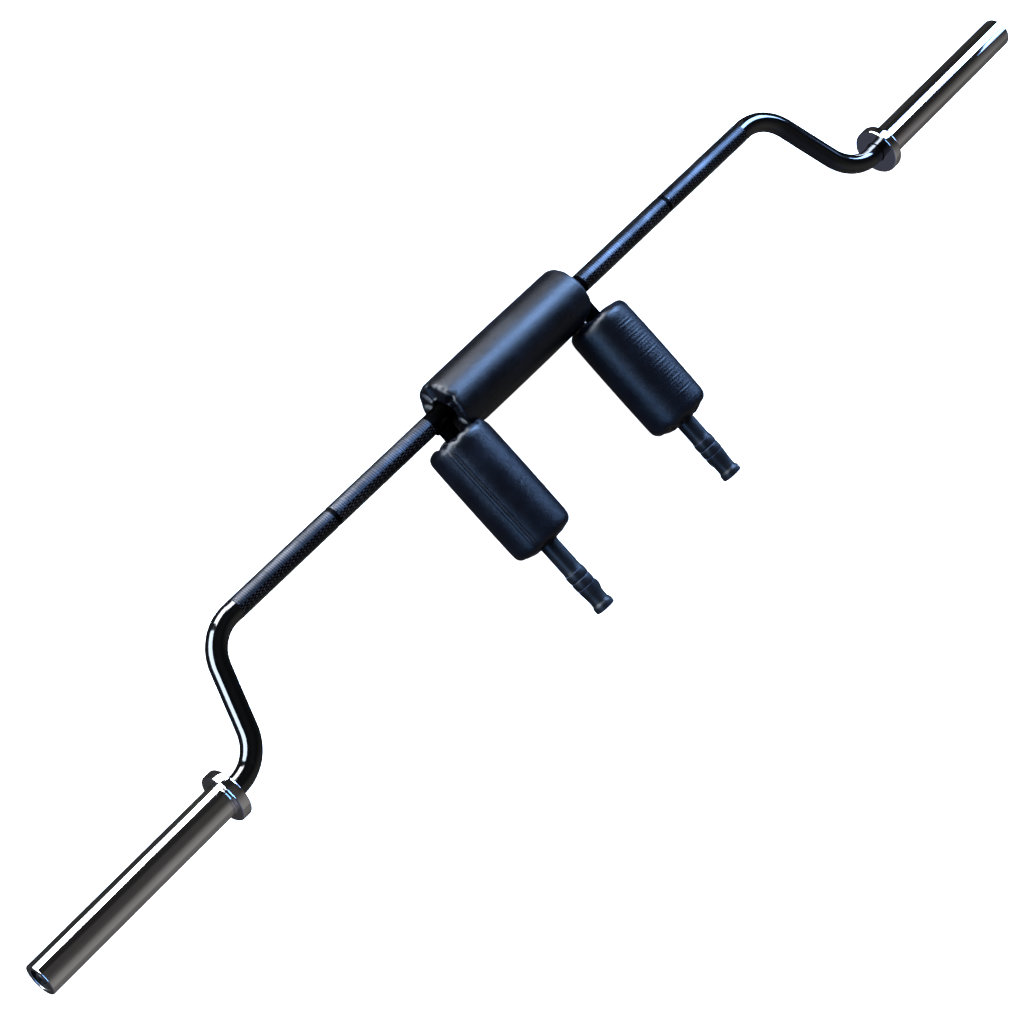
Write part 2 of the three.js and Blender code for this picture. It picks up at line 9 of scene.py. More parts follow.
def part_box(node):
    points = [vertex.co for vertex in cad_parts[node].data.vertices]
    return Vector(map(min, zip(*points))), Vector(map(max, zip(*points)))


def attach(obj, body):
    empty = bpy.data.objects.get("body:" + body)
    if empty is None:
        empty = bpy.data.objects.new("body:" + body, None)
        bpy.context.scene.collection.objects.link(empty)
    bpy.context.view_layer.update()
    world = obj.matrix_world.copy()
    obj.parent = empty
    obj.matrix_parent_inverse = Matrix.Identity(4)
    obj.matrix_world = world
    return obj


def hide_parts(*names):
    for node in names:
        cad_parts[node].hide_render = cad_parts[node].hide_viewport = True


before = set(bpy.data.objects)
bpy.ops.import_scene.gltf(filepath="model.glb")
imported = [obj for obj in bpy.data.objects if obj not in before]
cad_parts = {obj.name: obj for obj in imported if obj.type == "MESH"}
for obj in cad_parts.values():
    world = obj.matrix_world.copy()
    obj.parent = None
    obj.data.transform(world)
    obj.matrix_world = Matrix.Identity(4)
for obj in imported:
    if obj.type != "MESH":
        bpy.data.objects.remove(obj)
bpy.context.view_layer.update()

# Places that the frame gives: the bar's axis, the sleeves' axis and the arms' axes, in metres
shaftLow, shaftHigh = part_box("shaft")
barRadius = (shaftHigh.z - shaftLow.z) / 2
barY = shaftHigh.y - barRadius
barZ = (shaftHigh.z + shaftLow.z) / 2
sleeveBoxes = {side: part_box(side + "_sleeve_tube") for side in ("left", "right")}
sleeveY = sum(corner.y for corner in sleeveBoxes["right"]) / 2
collarFace = sleeveBoxes["right"][0].x  # from the middle of the bar to the collars' inner faces
sleeveEnd = sleeveBoxes["right"][1].x
armBoxes = {side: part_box(side + "_grip") for side in ("left", "right")}
armX = (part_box("right_arm_tube")[0].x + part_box("right_arm_tube")[1].x) / 2
gripEnd = armBoxes["right"][0].y
sides = {"left": -1, "right": 1}

view = {
    "place": (-2.0335, 0.3370, 3.4214),
    "right": (0.621719, -0.664797, 0.414130),
    "down": (-0.616901, -0.741417, -0.264050),
    "ahead": (0.482589, -0.091311, -0.871078),
    "focal": 2717.77 / 1028 * 36,
    "sensor": 36,
}


def linked(name, data):
    made = bpy.data.objects.new(name, data)
    bpy.context.scene.collection.objects.link(made)
    return made


def makeCamera():
    data = bpy.data.cameras.new("camera")
    data.lens, data.sensor_width = view["focal"], view["sensor"]
    data.clip_start, data.clip_end = 0.1, 100
    camera = linked("camera", data)
    axes = Matrix((Vector(view["right"]), -Vector(view["down"]), -Vector(view["ahead"]))).transposed()
    camera.matrix_world = Matrix.Translation(view["place"]) @ axes.to_4x4()
    bpy.context.scene.camera = camera


lights = {
    # name: centre, the way its long side runs, length, width, watts, colour
    "backPanel": ((-0.165, 2.70, 0.57), (1, 0, 0), 1.15, 1.75, 140, (0.88, 0.92, 1.0)),
    "backMiddle": ((0.72, 2.70, 0.95), (1, 0, 0), 0.62, 2.0, 90, (0.78, 0.85, 1.0)),
    "backRight": ((1.80, 2.70, 0.40), (1, 0, 0), 1.5, 1.8, 2.5, (0.96, 0.90, 1.0)),
    "cornerPanel": ((-3.7, 3.8, 0.75), (4.15, 3.37, 0), 5.35, 3.7, 1150, (0.72, 0.84, 1.0)),
    "skyPanel": ((2.45, 1.37, 2.12), (1, 0, 0), 2.35, 1.5, 440, (0.31, 0.53, 1.0)),
    "leftPanel": ((-3.0, -0.2, 1.05), (0, 1, 0), 1.4, 0.85, 38, (0.20, 0.46, 1.0)),
    "rightPanel": ((3.0, -0.25, 0.72), (0, 1, 0), 0.7, 2.2, 24, (0.28, 0.50, 1.0)),
    "ceiling": ((0, 0.5, 5), (1, 0, 0), 9, 9, 140, (1, 1, 1)),
}
matteOnly = ("ceiling",)  # lights that no gloss mirrors
lightsAim = Vector((0, 0.05, 0.05))


def makeLights():
    for name, (centre, along, length, width, watts, colour) in lights.items():
        data = bpy.data.lights.new(name, "AREA")
        data.shape, data.size, data.size_y = "RECTANGLE", length, width
        data.energy, data.color = watts, colour
        lamp = linked(name, data)
        back = (Vector(centre) - lightsAim).normalized()
        x = (Vector(along) - back * back.dot(Vector(along))).normalized()
        axes = Matrix((x, back.cross(x), back)).transposed()
        lamp.matrix_world = Matrix.Translation(centre) @ axes.to_4x4()
        lamp.visible_camera = False
        lamp.visible_glossy = name not in matteOnly


class Field:  # a socket of a shader tree, with arithmetic
    def __init__(self, tree, socket=None):
        self.tree, self.socket = tree, socket

    def node(self, kind, settings=None, inputs=None, output=0):
        made = self.tree.nodes.new("ShaderNode" + kind)
        for key, value in (settings or {}).items():
            setattr(made, key, value)
        for key, value in (inputs or {}).items():
            self.join(made.inputs[key], value)
        return Field(self.tree, made.outputs[output])

    def join(self, socket, value):
        if isinstance(value, Field):
            self.tree.links.new(value.socket, socket)
        else:
            socket.default_value = value

    def math(self, operation, first, second):
        return self.node("Math", {"operation": operation}, {0: first, 1: second})

    def __add__(self, other):
        return self.math("ADD", self, other)

    def __radd__(self, other):
        return self.math("ADD", other, self)

    def __sub__(self, other):
        return self.math("SUBTRACT", self, other)

    def __rsub__(self, other):
        return self.math("SUBTRACT", other, self)

    def __mul__(self, other):
        return self.math("MULTIPLY", self, other)

    def __rmul__(self, other):
        return self.math("MULTIPLY", other, self)

    def __pow__(self, other):
        return self.math("POWER", self, other)

    def __rpow__(self, other):
        return self.math("POWER", other, self)

    def clamped(self, low, high):  # 0 below low, 1 above high
        return self.node("MapRange", {"interpolation_type": "SMOOTHSTEP"}, {0: self, 1: low, 2: high})

    def mixed(self, first, second):  # colours, by self
        settings = {"data_type": "RGBA"}
        return self.node("Mix", settings, {0: self, 6: first, 7: second}, output=2)

    def mark(self, name):  # a value that the piece's points carry
        return self.node("Attribute", {"attribute_name": name}, output=2)

    def place(self, stretch=(1, 1, 1)):  # the point on the piece
        return self.node("Mapping", {}, {"Vector": self.node("TexCoord", output=3), "Scale": stretch})

    def noise(self, scale, detail, stretch=(1, 1, 1)):
        return self.node("TexNoise", {}, {"Vector": self.place(stretch), "Scale": scale, "Detail": detail})

    def give(self, name, value):  # to the material's shader
        self.join(self.tree.nodes["Principled BSDF"].inputs[name], value)

    def bump(self, height, distance, strength=1.0, normal=None):
        inputs = {"Height": height, "Distance": distance, "Strength": strength}
        if normal is not None:
            inputs["Normal"] = normal
        made = self.node("Bump", {}, inputs)
        self.give("Normal", made)
        return made


def newMaterial(name, constants):
    material = bpy.data.materials.new(name)
    material.use_nodes = True
    field = Field(material.node_tree)
    for socket, value in constants.items():
        field.give(socket, value)
    return material, field


def grey(value, tint=(1, 1, 1)):
    return (*[value * part for part in tint], 1)


studio = {
    "front": 0.27, "shade": 0.5, "top": 0.035, "bottom": 0.02, "leftGlow": 0.03, "base": 0.02,
    "warm": (1, 0.96, 0.95), "cool": (0.82, 0.90, 1.28), "floorSize": 60, "floorGlow": 1.2,
}


def makeWorld():  # what the gloss mirrors; the camera sees white
    world = bpy.data.worlds.new("studio")
    bpy.context.scene.world = world
    world.use_nodes = True
    field = Field(world.node_tree)
    camera = field.node("LightPath")
    way = field.node("TexCoord", output=0)
    height, front, side = [field.node("SeparateXYZ", {}, {0: way}, output=i) for i in (2, 1, 0)]
    leftwards = side.clamped(-0.2, -0.62)
    below = height.clamped(0.04, -0.04)
    ahead = (0 - front).clamped(-0.05, 1.0) ** 2
    above = height.clamped(0.84, 0.95)
    tone = ahead * studio["front"] * (1 - below * studio["shade"]) + above * studio["top"]
    tone = tone + below * (leftwards * studio["leftGlow"] + studio["bottom"]) + studio["base"]
    tint = leftwards.mixed(grey(1.0, studio["warm"]), grey(1.0, studio["cool"]))
    shown = camera.mixed(tone.mixed(grey(0.0), tint), grey(1.0))
    field.join(world.node_tree.nodes["Background"].inputs["Color"], shown)


def makeFloor():
    bpy.ops.mesh.primitive_plane_add(size=studio["floorSize"])
    floor = bpy.context.object
    floor.name = "floor"
    constants = {"Roughness": 0.95, "Specular IOR Level": 0.1, "Emission Strength": studio["floorGlow"]}
    material, field = newMaterial("paleFloor", constants)
    tone = field.noise(1.5, 2).clamped(0.3, 0.7).mixed(grey(0.86), grey(0.9))
    field.give("Base Color", tone)
    field.give("Emission Color", tone)
    floor.data.materials.append(material)
    floor.visible_glossy = floor.visible_diffuse = floor.visible_shadow = False


bpy.ops.object.select_all(action="DESELECT")
bpy.context.scene.view_settings.view_transform = "Standard"
makeCamera()
makeLights()
makeWorld()
makeFloor()
print("stage, camera and light are set")


paint = {"base": 0.0008, "spots": 0.0022, "roughness": 0.04, "dullAndShade": 0.4, "gloss": 0.75, "grain": 0.00006}


def glossBlack():
    material, field = newMaterial("glossBlack", {"Specular IOR Level": paint["gloss"]})
    spots = field.noise(90, 4).clamped(0.62, 0.8)
    streaks = field.noise(26, 3, (1, 12, 12))
    dullAndShade = field.mark("dullAndShade")
    field.give("Base Color", spots.mixed(grey(paint["base"]), grey(paint["spots"])))
    field.give("Metallic", dullAndShade)
    field.give("Roughness", streaks * 0.08 + spots * 0.1 + paint["roughness"] + dullAndShade * paint["dullAndShade"])
    field.bump(field.noise(220, 2), paint["grain"])
    return material


worn = {"base": 0.002, "tips": 0.17, "tint": (0.86, 0.90, 1.0), "roughness": 0.25}


def knurlBlack():
    material, field = newMaterial("knurlBlack", {"Metallic": 1.0})
    handled = field.noise(14, 4, (1, 3, 3)).clamped(0.35, 0.7)
    bright = field.mark("tip") ** 2 * (handled * 0.5 + 0.5)
    field.give("Base Color", bright.mixed(grey(worn["base"]), grey(worn["tips"], worn["tint"])))
    field.give("Roughness", field.noise(60, 3) * 0.08 + worn["roughness"])
    return material


chrome = {"colour": (0.74, 0.73, 0.74), "clouds": grey(0.66, (1, 0.99, 0.98)), "dullAndShade": 0.03, "roughness": 0.03,
          "scratch": 0.000012}


def chromed():
    material, field = newMaterial("chrome", {"Metallic": 1.0})
    dullAndShade = field.mark("dullAndShade")
    rings = field.noise(22, 4, (60, 1, 1))  # fine lines round the sleeve, left by plates
    clouds = field.noise(9, 4)
    colour = clouds.clamped(0.3, 0.75).mixed(grey(1, chrome["colour"]), chrome["clouds"])
    # the bore inside the tube gets a near-black colour: painted shade in its recesses
    field.give("Base Color", dullAndShade.mixed(colour, grey(chrome["dullAndShade"])))
    scuffs = rings.clamped(0.55, 0.8) * clouds.clamped(0.45, 0.7)
    field.give("Roughness", scuffs * 0.08 + clouds * 0.02 + dullAndShade * 0.5 + chrome["roughness"])
    field.bump(rings, chrome["scratch"])
    return material


# lip: a pale blue for the grooves' far edges, a painted highlight
rubber = {"base": (0.0016, 0.0020, 0.0032), "dusty": (0.0040, 0.0048, 0.0070), "lip": (0.050, 0.063, 0.100),
          "roughness": 0.38, "grain": 0.00003}


def gripRubber():
    material, field = newMaterial("gripRubber", {"Specular IOR Level": 0.28})
    pores = field.noise(1500, 3)
    marks = field.noise(55, 4, (1, 0.3, 1)).clamped(0.5, 0.8)
    tone = marks.mixed(grey(1, rubber["base"]), grey(1, rubber["dusty"]))
    patches = field.noise(45, 2).clamped(0.3, 0.7) * 0.8 + 0.2
    # the grooves' far edges turn pale blue: painted highlight lines
    field.give("Base Color", (field.mark("lip") * patches).mixed(tone, grey(1, rubber["lip"])))
    field.give("Roughness", marks * 0.1 + pores * 0.08 + rubber["roughness"])
    field.bump(pores, rubber["grain"])
    return material


vinyl = {
    "base": (0.0003, 0.0005, 0.0011), "faded": (0.0006, 0.0011, 0.0026), "foldShade": (0.001, 0.0012, 0.002),
    "roughness": 0.225, "cell": 1100, "warp": 0.0006, "grain": 0.0001, "speckle": 0.0002, "soft": 0.0004,
    "streak": 0.0007,
}


def padVinyl(name, along, paintedLight):  # along: how the gathers' streaks stretch; the last argument scales the base colour up, painted light that makes the arm pads lighter than the neck pad
    material, field = newMaterial(name, {"Specular IOR Level": 0.3})
    shift = field.node("VectorMath", {"operation": "SCALE"}, {0: field.noise(300, 2), "Scale": vinyl["warp"]})
    warped = field.node("VectorMath", {"operation": "ADD"}, {0: field.place(), 1: shift})
    cells = field.node("TexVoronoi", {"feature": "DISTANCE_TO_EDGE"}, {"Vector": warped, "Scale": vinyl["cell"]})
    grain = cells.clamped(0.0, 0.25)
    handled = field.noise(16, 4).clamped(0.35, 0.75)
    tone = handled.mixed(grey(paintedLight, vinyl["base"]), grey(paintedLight, vinyl["faded"]))
    # folds and stitch lines take a fixed tone set by their depth: painted shade
    field.give("Base Color", field.mark("foldShade").mixed(tone, grey(1, vinyl["foldShade"])))
    gathers = field.mark("gather")
    field.give("Roughness", handled * 0.08 + (1 - grain) * 0.08 + gathers * 0.06 + vinyl["roughness"])
    fine = field.bump(grain, vinyl["grain"], 0.5)
    speckle = field.bump(field.noise(420, 2), vinyl["speckle"], 0.5, fine)
    soft = field.bump(field.noise(120, 3), vinyl["soft"], 0.4, speckle)
    field.bump(field.noise(300, 2, along) * gathers, vinyl["streak"], 1.0, soft)
    return material


metal = {"Metallic": 1.0}
grainedFinishes = {
    # name, constants, texture, its inputs, where it starts and ends, two colours, roughness, its rise, relief
    # near black and mirroring nothing: painted shade on the arms, the welds and the shaft's stretch under the pads
    "shadeBlack": ("paintedShadeBlack", {**metal, "Specular Tint": (0, 0, 0, 1)}, ("Noise", {}), {"Scale": 120, "Detail": 3},
              (0.3, 0.8), (grey(0.0006), grey(0.0016)), 0.5, 0.1, 0.00005),
    "oxide": ("blackOxide", metal, ("Noise", {}), {"Scale": 400, "Detail": 4},
              (0.3, 0.7), (grey(0.05), grey(0.09, (1, 1, 1.05))), 0.26, 0.2, 0.00006),
    # bronze darkened to near black: painted shade in the gaps at the collars where it shows
    "bronze": ("bronzeDarkenedAsShade", metal, ("Noise", {}), {"Scale": 900, "Detail": 5},
               (0.35, 0.65), ((0.020, 0.013, 0.008, 1), (0.050, 0.033, 0.018, 1)), 0.25, 0.3, 0.00008),
    "foam": ("padFoam", {"Specular IOR Level": 0.1}, ("Voronoi", {}), {"Scale": 900},
             (0.2, 0.7), (grey(0.03), grey(0.008)), 0.85, 0.1, 0.0004),
    "elastic": ("hemElastic", {"Specular IOR Level": 0.2}, ("Wave", {}), {"Scale": 420, "Distortion": 3},
                None, (grey(0.012), grey(0.035)), 0.75, 0.1, 0.0003),
    "thread": ("sewingThread", {"Specular IOR Level": 0.4}, ("Wave", {"bands_direction": "DIAGONAL"}),
               {"Scale": 1500}, None, (grey(0.012), grey(0.03, (0.95, 0.98, 1.05))), 0.45, 0.1, 0.00005),
}


def grained(name, constants, texture, inputs, span, colours, roughness, rise, relief):
    material, field = newMaterial(name, constants)
    grain = field.node("Tex" + texture[0], texture[1], {"Vector": field.place(), **inputs})
    field.give("Base Color", (grain.clamped(*span) if span else grain).mixed(*colours))
    field.give("Roughness", grain * rise + roughness)
    field.bump(grain, relief)
    return material


finishes = {
    "paint": glossBlack(), "knurl": knurlBlack(), "chrome": chromed(), "rubber": gripRubber(),
    # the arm pads' vinyl is a lighter copy of the neck pad's: painted light
    "neckVinyl": padVinyl("neckVinyl", (0.09, 1, 1), 1), "armVinyl": padVinyl("armVinyl", (1, 0.09, 1), 2.2),
    **{finish: grained(*row) for finish, row in grainedFinishes.items()},
}
for name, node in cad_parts.items():
    # the bushings and thrust washers take the darkened bronze, painted shade in the gaps
    if "bushing" in name or "thrust_washer" in name:
        node.data.materials.clear()
        node.data.materials.append(finishes["bronze"])
print("finishes are made")


def begin(name):  # the new primitive, named, turned for good and ready for edit mode
    piece = bpy.context.object
    piece.name = piece.data.name = name
    bpy.ops.object.transform_apply(location=True, rotation=True, scale=True)
    bpy.ops.object.mode_set(mode="EDIT")
    return piece


def choose(piece, kind, test):  # selects the vertices or edges that pass, in edit mode
    bpy.ops.mesh.select_mode(type={"verts": "VERT", "edges": "EDGE"}[kind])
    bpy.ops.mesh.select_all(action="DESELECT")
    shape = bmesh.from_edit_mesh(piece.data)
    for item in getattr(shape, kind):
        item.select = test(item)
    shape.select_flush_mode()
    bmesh.update_edit_mesh(piece.data)


def end(piece, finish, body, replaced=(), smoothed=35):
    bpy.ops.mesh.select_all(action="SELECT")
    bpy.ops.mesh.normals_make_consistent(inside=False)
    bpy.ops.object.mode_set(mode="OBJECT")
    settle(piece, finish, body, replaced, smoothed)


def settle(piece, finish, body, replaced=(), smoothed=35):  # smoothed: the angle up to which edges look round
    bpy.ops.object.select_all(action="DESELECT")
    piece.select_set(True)
    bpy.context.view_layer.objects.active = piece
    bpy.ops.object.transform_apply(location=True, rotation=True, scale=True)
    if smoothed:
        bpy.ops.object.shade_smooth_by_angle(angle=radians(smoothed))
    piece.data.materials.clear()
    piece.data.materials.append(finishes[finish])
    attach(piece, body)
    if replaced:
        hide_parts(*replaced)
    bpy.ops.object.select_all(action="DESELECT")


def marked(piece, name, values):  # a value at each point, for the finish
    piece.data.attributes.new(name, "FLOAT", "POINT").data.foreach_set("value", values)


def fromAxis(piece, y):
    return [hypot(vert.co.y - y, vert.co.z - barZ) for vert in piece.data.vertices]


def smooth(start, stop, value):
    t = min(1, max(0, (value - start) / (stop - start)))
    return t * t * (3 - 2 * t)


def grow(axis, centre, stations):  # from the selected disc or ring on: steps (how far along, radius)
    way = Vector(axis)
    along, radius = stations[0]
    for nextAlong, nextRadius in stations[1:]:
        step = way * (nextAlong - along)
        bpy.ops.mesh.extrude_region_move(TRANSFORM_OT_translate={"value": step})
        if nextRadius != radius:
            share = nextRadius / radius
            factors = [share + (1 - share) * abs(way[i]) for i in range(3)]
            bpy.ops.transform.resize(value=factors, center_override=Vector(centre) + way * nextAlong)
        along, radius = nextAlong, nextRadius


turns = {(1, 0, 0): (0, pi / 2, 0), (-1, 0, 0): (0, -pi / 2, 0), (0, -1, 0): (pi / 2, 0, 0)}


def turnedPiece(name, axis, centre, stations, corners=64, hollow=False):
    # a turned shape about an axis, from a disc or a ring that is extruded and scaled station by station
    along, radius = stations[0]
    bpy.ops.mesh.primitive_circle_add(
        vertices=corners, radius=radius, fill_type="NOTHING" if hollow else "NGON",
        location=Vector(centre) + Vector(axis) * along, rotation=turns[axis])
    piece = begin(name)
    bpy.ops.mesh.select_all(action="SELECT")
    if hollow:
        bpy.ops.mesh.select_mode(type="EDGE")
    grow(axis, centre, stations)
    if hollow:
        choose(piece, "edges", lambda edge: edge.is_boundary)
        bpy.ops.mesh.bridge_edge_loops()
    return piece


def arc(centreAlong, centreRadius, radius, start, stop, steps):
    points = []
    for i in range(steps + 1):
        angle = radians(start + (stop - start) * i / steps)
        points.append((centreAlong + radius * sin(angle), centreRadius + radius * cos(angle)))
    return points


shaft = {
    "corner": 0.639, "degrees": 69.5, "bendRadius": 0.068, "bendSteps": 28, "corners": 72,
    "shoulder": 0.008, "journalRadius": 0.0125, "journalEnd": 0.3467, "chamfer": 0.0015,
    "holeRadius": 0.0064, "holeDepth": 0.034,
}
knurl = {
    "bands": ((0.177, 0.3796), (0.3872, 0.582)), "tip": 0.01570, "root": 0.01561, "around": 54,
    "pitch": 0.0026, "core": 0.01495, "seat": 0.01492, "mark": 0.01515, "dullAndShade": 1.0, "edge": 0.0001, "bare": 0.00004,
}


def makeShaft():
    bend, camber = radians(shaft["degrees"]), barY - sleeveY
    radius, corner, thin, hole, chamfer = [
        shaft[word] for word in ("bendRadius", "corner", "journalRadius", "holeRadius", "chamfer")]
    tangent, outerCorner = radius * tan(bend / 2), corner + camber / tan(bend)
    shoulder, tip = collarFace + shaft["shoulder"], collarFace + shaft["journalEnd"]
    journal = [
        (tip - shaft["holeDepth"], hole), (tip, hole), (tip, thin - chamfer), (tip - chamfer, thin),
        (shoulder, thin), (shoulder, barRadius - chamfer), (shoulder - chamfer, barRadius),
        (outerCorner + tangent, barRadius),
    ]
    axisAt = (0, sleeveY, barZ)
    piece = turnedPiece("shaft_bar", (1, 0, 0), axisAt, [(-a, r) for a, r in journal], shaft["corners"])

    def spin(x, y, angle):
        bpy.ops.mesh.spin(steps=shaft["bendSteps"], angle=-angle, center=(x, y, barZ), axis=(0, 0, 1))

    def straight(step):
        bpy.ops.mesh.extrude_region_move(TRANSFORM_OT_translate={"value": step})

    crank = hypot(outerCorner - corner, camber) - 2 * tangent
    slope = Vector((cos(bend), sin(bend), 0))
    spin(-outerCorner - tangent, sleeveY + radius, bend)
    straight(slope * crank)
    spin(-corner + tangent, barY - radius, -bend)
    bands = sorted([(-b, -a) for a, b in knurl["bands"]] + list(knurl["bands"]))
    stations = [(-corner + tangent, barRadius)]
    for i, (start, stop) in enumerate(bands):
        before = knurl["mark"] if i in (1, 3) else barRadius
        after = knurl["mark"] if i in (0, 2) else barRadius
        stations += [(start, before), (start, knurl["seat"]), (stop, knurl["seat"]), (stop, after)]
    stations.append((corner - tangent, barRadius))
    grow((1, 0, 0), (0, barY, barZ), stations)
    spin(corner - tangent, barY - radius, -bend)
    straight(Vector((slope.x, -slope.y, 0)) * crank)
    spin(outerCorner + tangent, sleeveY + radius, bend)
    grow((1, 0, 0), axisAt, journal[::-1])
    end(piece, "paint", "frame", ["shaft"], 40)
    edge = knurl["edge"]
    low, high = knurl["bands"][0][1] - edge, knurl["bands"][1][0] + edge  # the ring marks are bare of gloss
    marked(piece, "dullAndShade", [knurl["dullAndShade"] if low < abs(v.co.x) < high else 0.0 for v in piece.data.vertices])

    reach, skin = knurl["bands"][0][0], barRadius + knurl["bare"]  # a thin black skin that mirrors nothing, over the stretch that the pads and arms sit on: painted shade under the pads
    stations = [(-reach, barRadius - 0.0004), (-reach, skin), (reach, skin), (reach, barRadius - 0.0004)]
    bare = turnedPiece("shaft_bare_stretch", (1, 0, 0), (0, barY, barZ), stations, shaft["corners"], hollow=True)
    end(bare, "shadeBlack", "frame")


def makeKnurl():
    for side, sign in sides.items():
        for word, (start, stop) in zip(("inner", "outer"), knurl["bands"]):
            length, middle = stop - start, sign * (start + stop) / 2
            rows = 2 * round(length / knurl["pitch"])
            bpy.ops.mesh.primitive_cylinder_add(
                vertices=2 * knurl["around"], radius=knurl["tip"], depth=length, end_fill_type="NOTHING",
                location=(middle, barY, barZ), rotation=turns[(1, 0, 0)])
            piece = begin(side + "_knurl_" + word)
            choose(piece, "edges", lambda edge: abs(edge.verts[0].co.x - edge.verts[1].co.x) > length / 2)
            bpy.ops.mesh.subdivide(number_cuts=rows - 1)
            low = middle - length / 2
            cell = pi / knurl["around"]  # the angle of half a peak

            def groove(vert):
                row = round((vert.co.x - low) / length * rows)
                column = round(atan2(vert.co.z - barZ, vert.co.y - barY) / cell - 0.5)
                return (row + column) % 2 == 0

            def drawIn(radius):
                share = radius / knurl["tip"]
                bpy.ops.transform.resize(value=(1, share, share), center_override=(middle, barY, barZ))

            choose(piece, "verts", groove)
            drawIn(knurl["root"])
            bpy.ops.mesh.select_all(action="SELECT")
            bpy.ops.mesh.quads_convert_to_tris(quad_method="SHORTEST_DIAGONAL")
            choose(piece, "edges", lambda edge: edge.is_boundary)
            bpy.ops.mesh.extrude_region_move()
            drawIn(knurl["core"])
            choose(piece, "edges", lambda edge: edge.is_boundary)
            bpy.ops.mesh.bridge_edge_loops()
            end(piece, "knurl", "frame", (), 0)
            depth = knurl["tip"] - knurl["root"]
            marked(piece, "tip", [min(1, max(0, (r - knurl["root"]) / depth)) for r in fromAxis(piece, barY)])


makeShaft()
makeKnurl()
print("shaft and knurling are made")


sleeve = {"bore": 0.01675, "endRound": 0.0016, "mouth": 0.001, "inlet": 0.0003, "corners": 128, "recess": 0.007}
collar = {"round": 0.003, "thickness": 0.017, "corners": 160, "lip": 0.0006, "gap": 0.00005}
washer = {"thickness": 0.003, "edge": 0.0004, "bore": 0.0066}
bolt = {"head": 0.0105, "rim": 0.0016, "height": 0.0056, "across": 0.008, "socket": 0.0036,
        "shank": 0.006, "reach": 0.030, "seat": 0.0003, "corners": 48}


def makeSleeve(side):
    sign = sides[side]
    axis, centre = (sign, 0, 0), (0, sleeveY, barZ)
    low, high = sleeveBoxes[side]
    outer = (high.z - low.z) / 2
    body = side + "_sleeve"
    start, stop = collarFace, sleeveEnd
    corner, mouth, inlet, bore = [sleeve[word] for word in ("endRound", "mouth", "inlet", "bore")]
    stations = [(start + inlet, bore), (start, bore + inlet), (start, outer)]
    stations += [(start + (stop - start) * share, outer) for share in (0.25, 0.5, 0.75)]
    stations += arc(stop - corner, outer - corner, corner, 0, 90, 6)
    stations += [(stop, bore + mouth), (stop - mouth, bore)]
    tube = turnedPiece(body + "_tube_skin", axis, centre, stations, sleeve["corners"], hollow=True)
    end(tube, "chrome", body, [body + "_tube"])
    # the bore is marked for its painted shade
    marked(tube, "dullAndShade", [1.0 if r < bore + inlet / 2 else 0.0 for r in fromAxis(tube, sleeveY)])

    low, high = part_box(side + "_collar")
    outer, inner = (high.z - low.z) / 2, outer + collar["gap"]
    thick, corner, lip = collar["thickness"], collar["round"], collar["lip"]
    stations = [(start, inner), (start, outer - corner - 0.002)]
    stations += arc(start + corner, outer - corner, corner, -90, 0, 8)
    stations += [*arc(start + thick - corner, outer - corner, corner, 0, 90, 8), (start + thick, inner + 3 * lip)]
    stations += arc(start + thick + 2 * lip, inner + 2 * lip, -2 * lip, 0, 90, 4)[::-1]  # fillet at its foot
    stations += [(start + thick, inner)]
    ring = turnedPiece(side + "_collar_ring", axis, centre, stations, collar["corners"], hollow=True)
    end(ring, "chrome", body, [side + "_collar"], 30)

    face = stop - sleeve["recess"]
    rim, edge, thick = bore - 0.0006, washer["edge"], washer["thickness"]
    stations = [(face - thick, washer["bore"]), (face - thick, rim - edge), (face - thick + edge, rim),
                (face - edge, rim), (face, rim - edge), (face, washer["bore"] + edge), (face - edge, washer["bore"])]
    disc = turnedPiece(side + "_end_disc", axis, centre, stations, 96, hollow=True)
    end(disc, "oxide", "frame", [side + "_retaining_washer"])

    seat, head = face + bolt["seat"], bolt["head"]
    flat = bolt["across"] / 2 + bolt["rim"]
    dome = [(seat + bolt["rim"] + (bolt["height"] - bolt["rim"]) * sin(radians(a)),
             flat + (head - flat) * cos(radians(a))) for a in range(0, 91, 10)]
    shank = bolt["shank"]
    stations = [(seat - bolt["reach"], shank - 0.001), (seat - bolt["reach"] + 0.001, shank), (seat, shank),
                (seat, head - 0.0002), (seat + 0.0002, head), *dome]
    screw = turnedPiece(side + "_end_bolt_head", axis, centre, stations, bolt["corners"])
    bpy.ops.mesh.inset(thickness=flat - bolt["across"] * 0.62, depth=0)
    shape = bmesh.from_edit_mesh(screw.data)
    for vert in shape.verts:
        if vert.select:  # the inset ring is pulled in to a hexagon, flat by flat
            y, z = vert.co.y - sleeveY, vert.co.z - barZ
            turn = atan2(z, y) % (pi / 3) - pi / 6
            reach = bolt["across"] / 2 / cos(turn)
            vert.co.y, vert.co.z = sleeveY + y / hypot(y, z) * reach, barZ + z / hypot(y, z) * reach
    bmesh.update_edit_mesh(screw.data)
    bpy.ops.mesh.extrude_region_move(TRANSFORM_OT_translate={"value": (-sign * bolt["socket"], 0, 0)})
    bpy.ops.mesh.inset(thickness=bolt["across"] * 0.2, depth=-0.0006)
    end(screw, "oxide", "frame", [side + "_end_bolt"], 30)


for side in sides:
    makeSleeve(side)
print("sleeves are made")


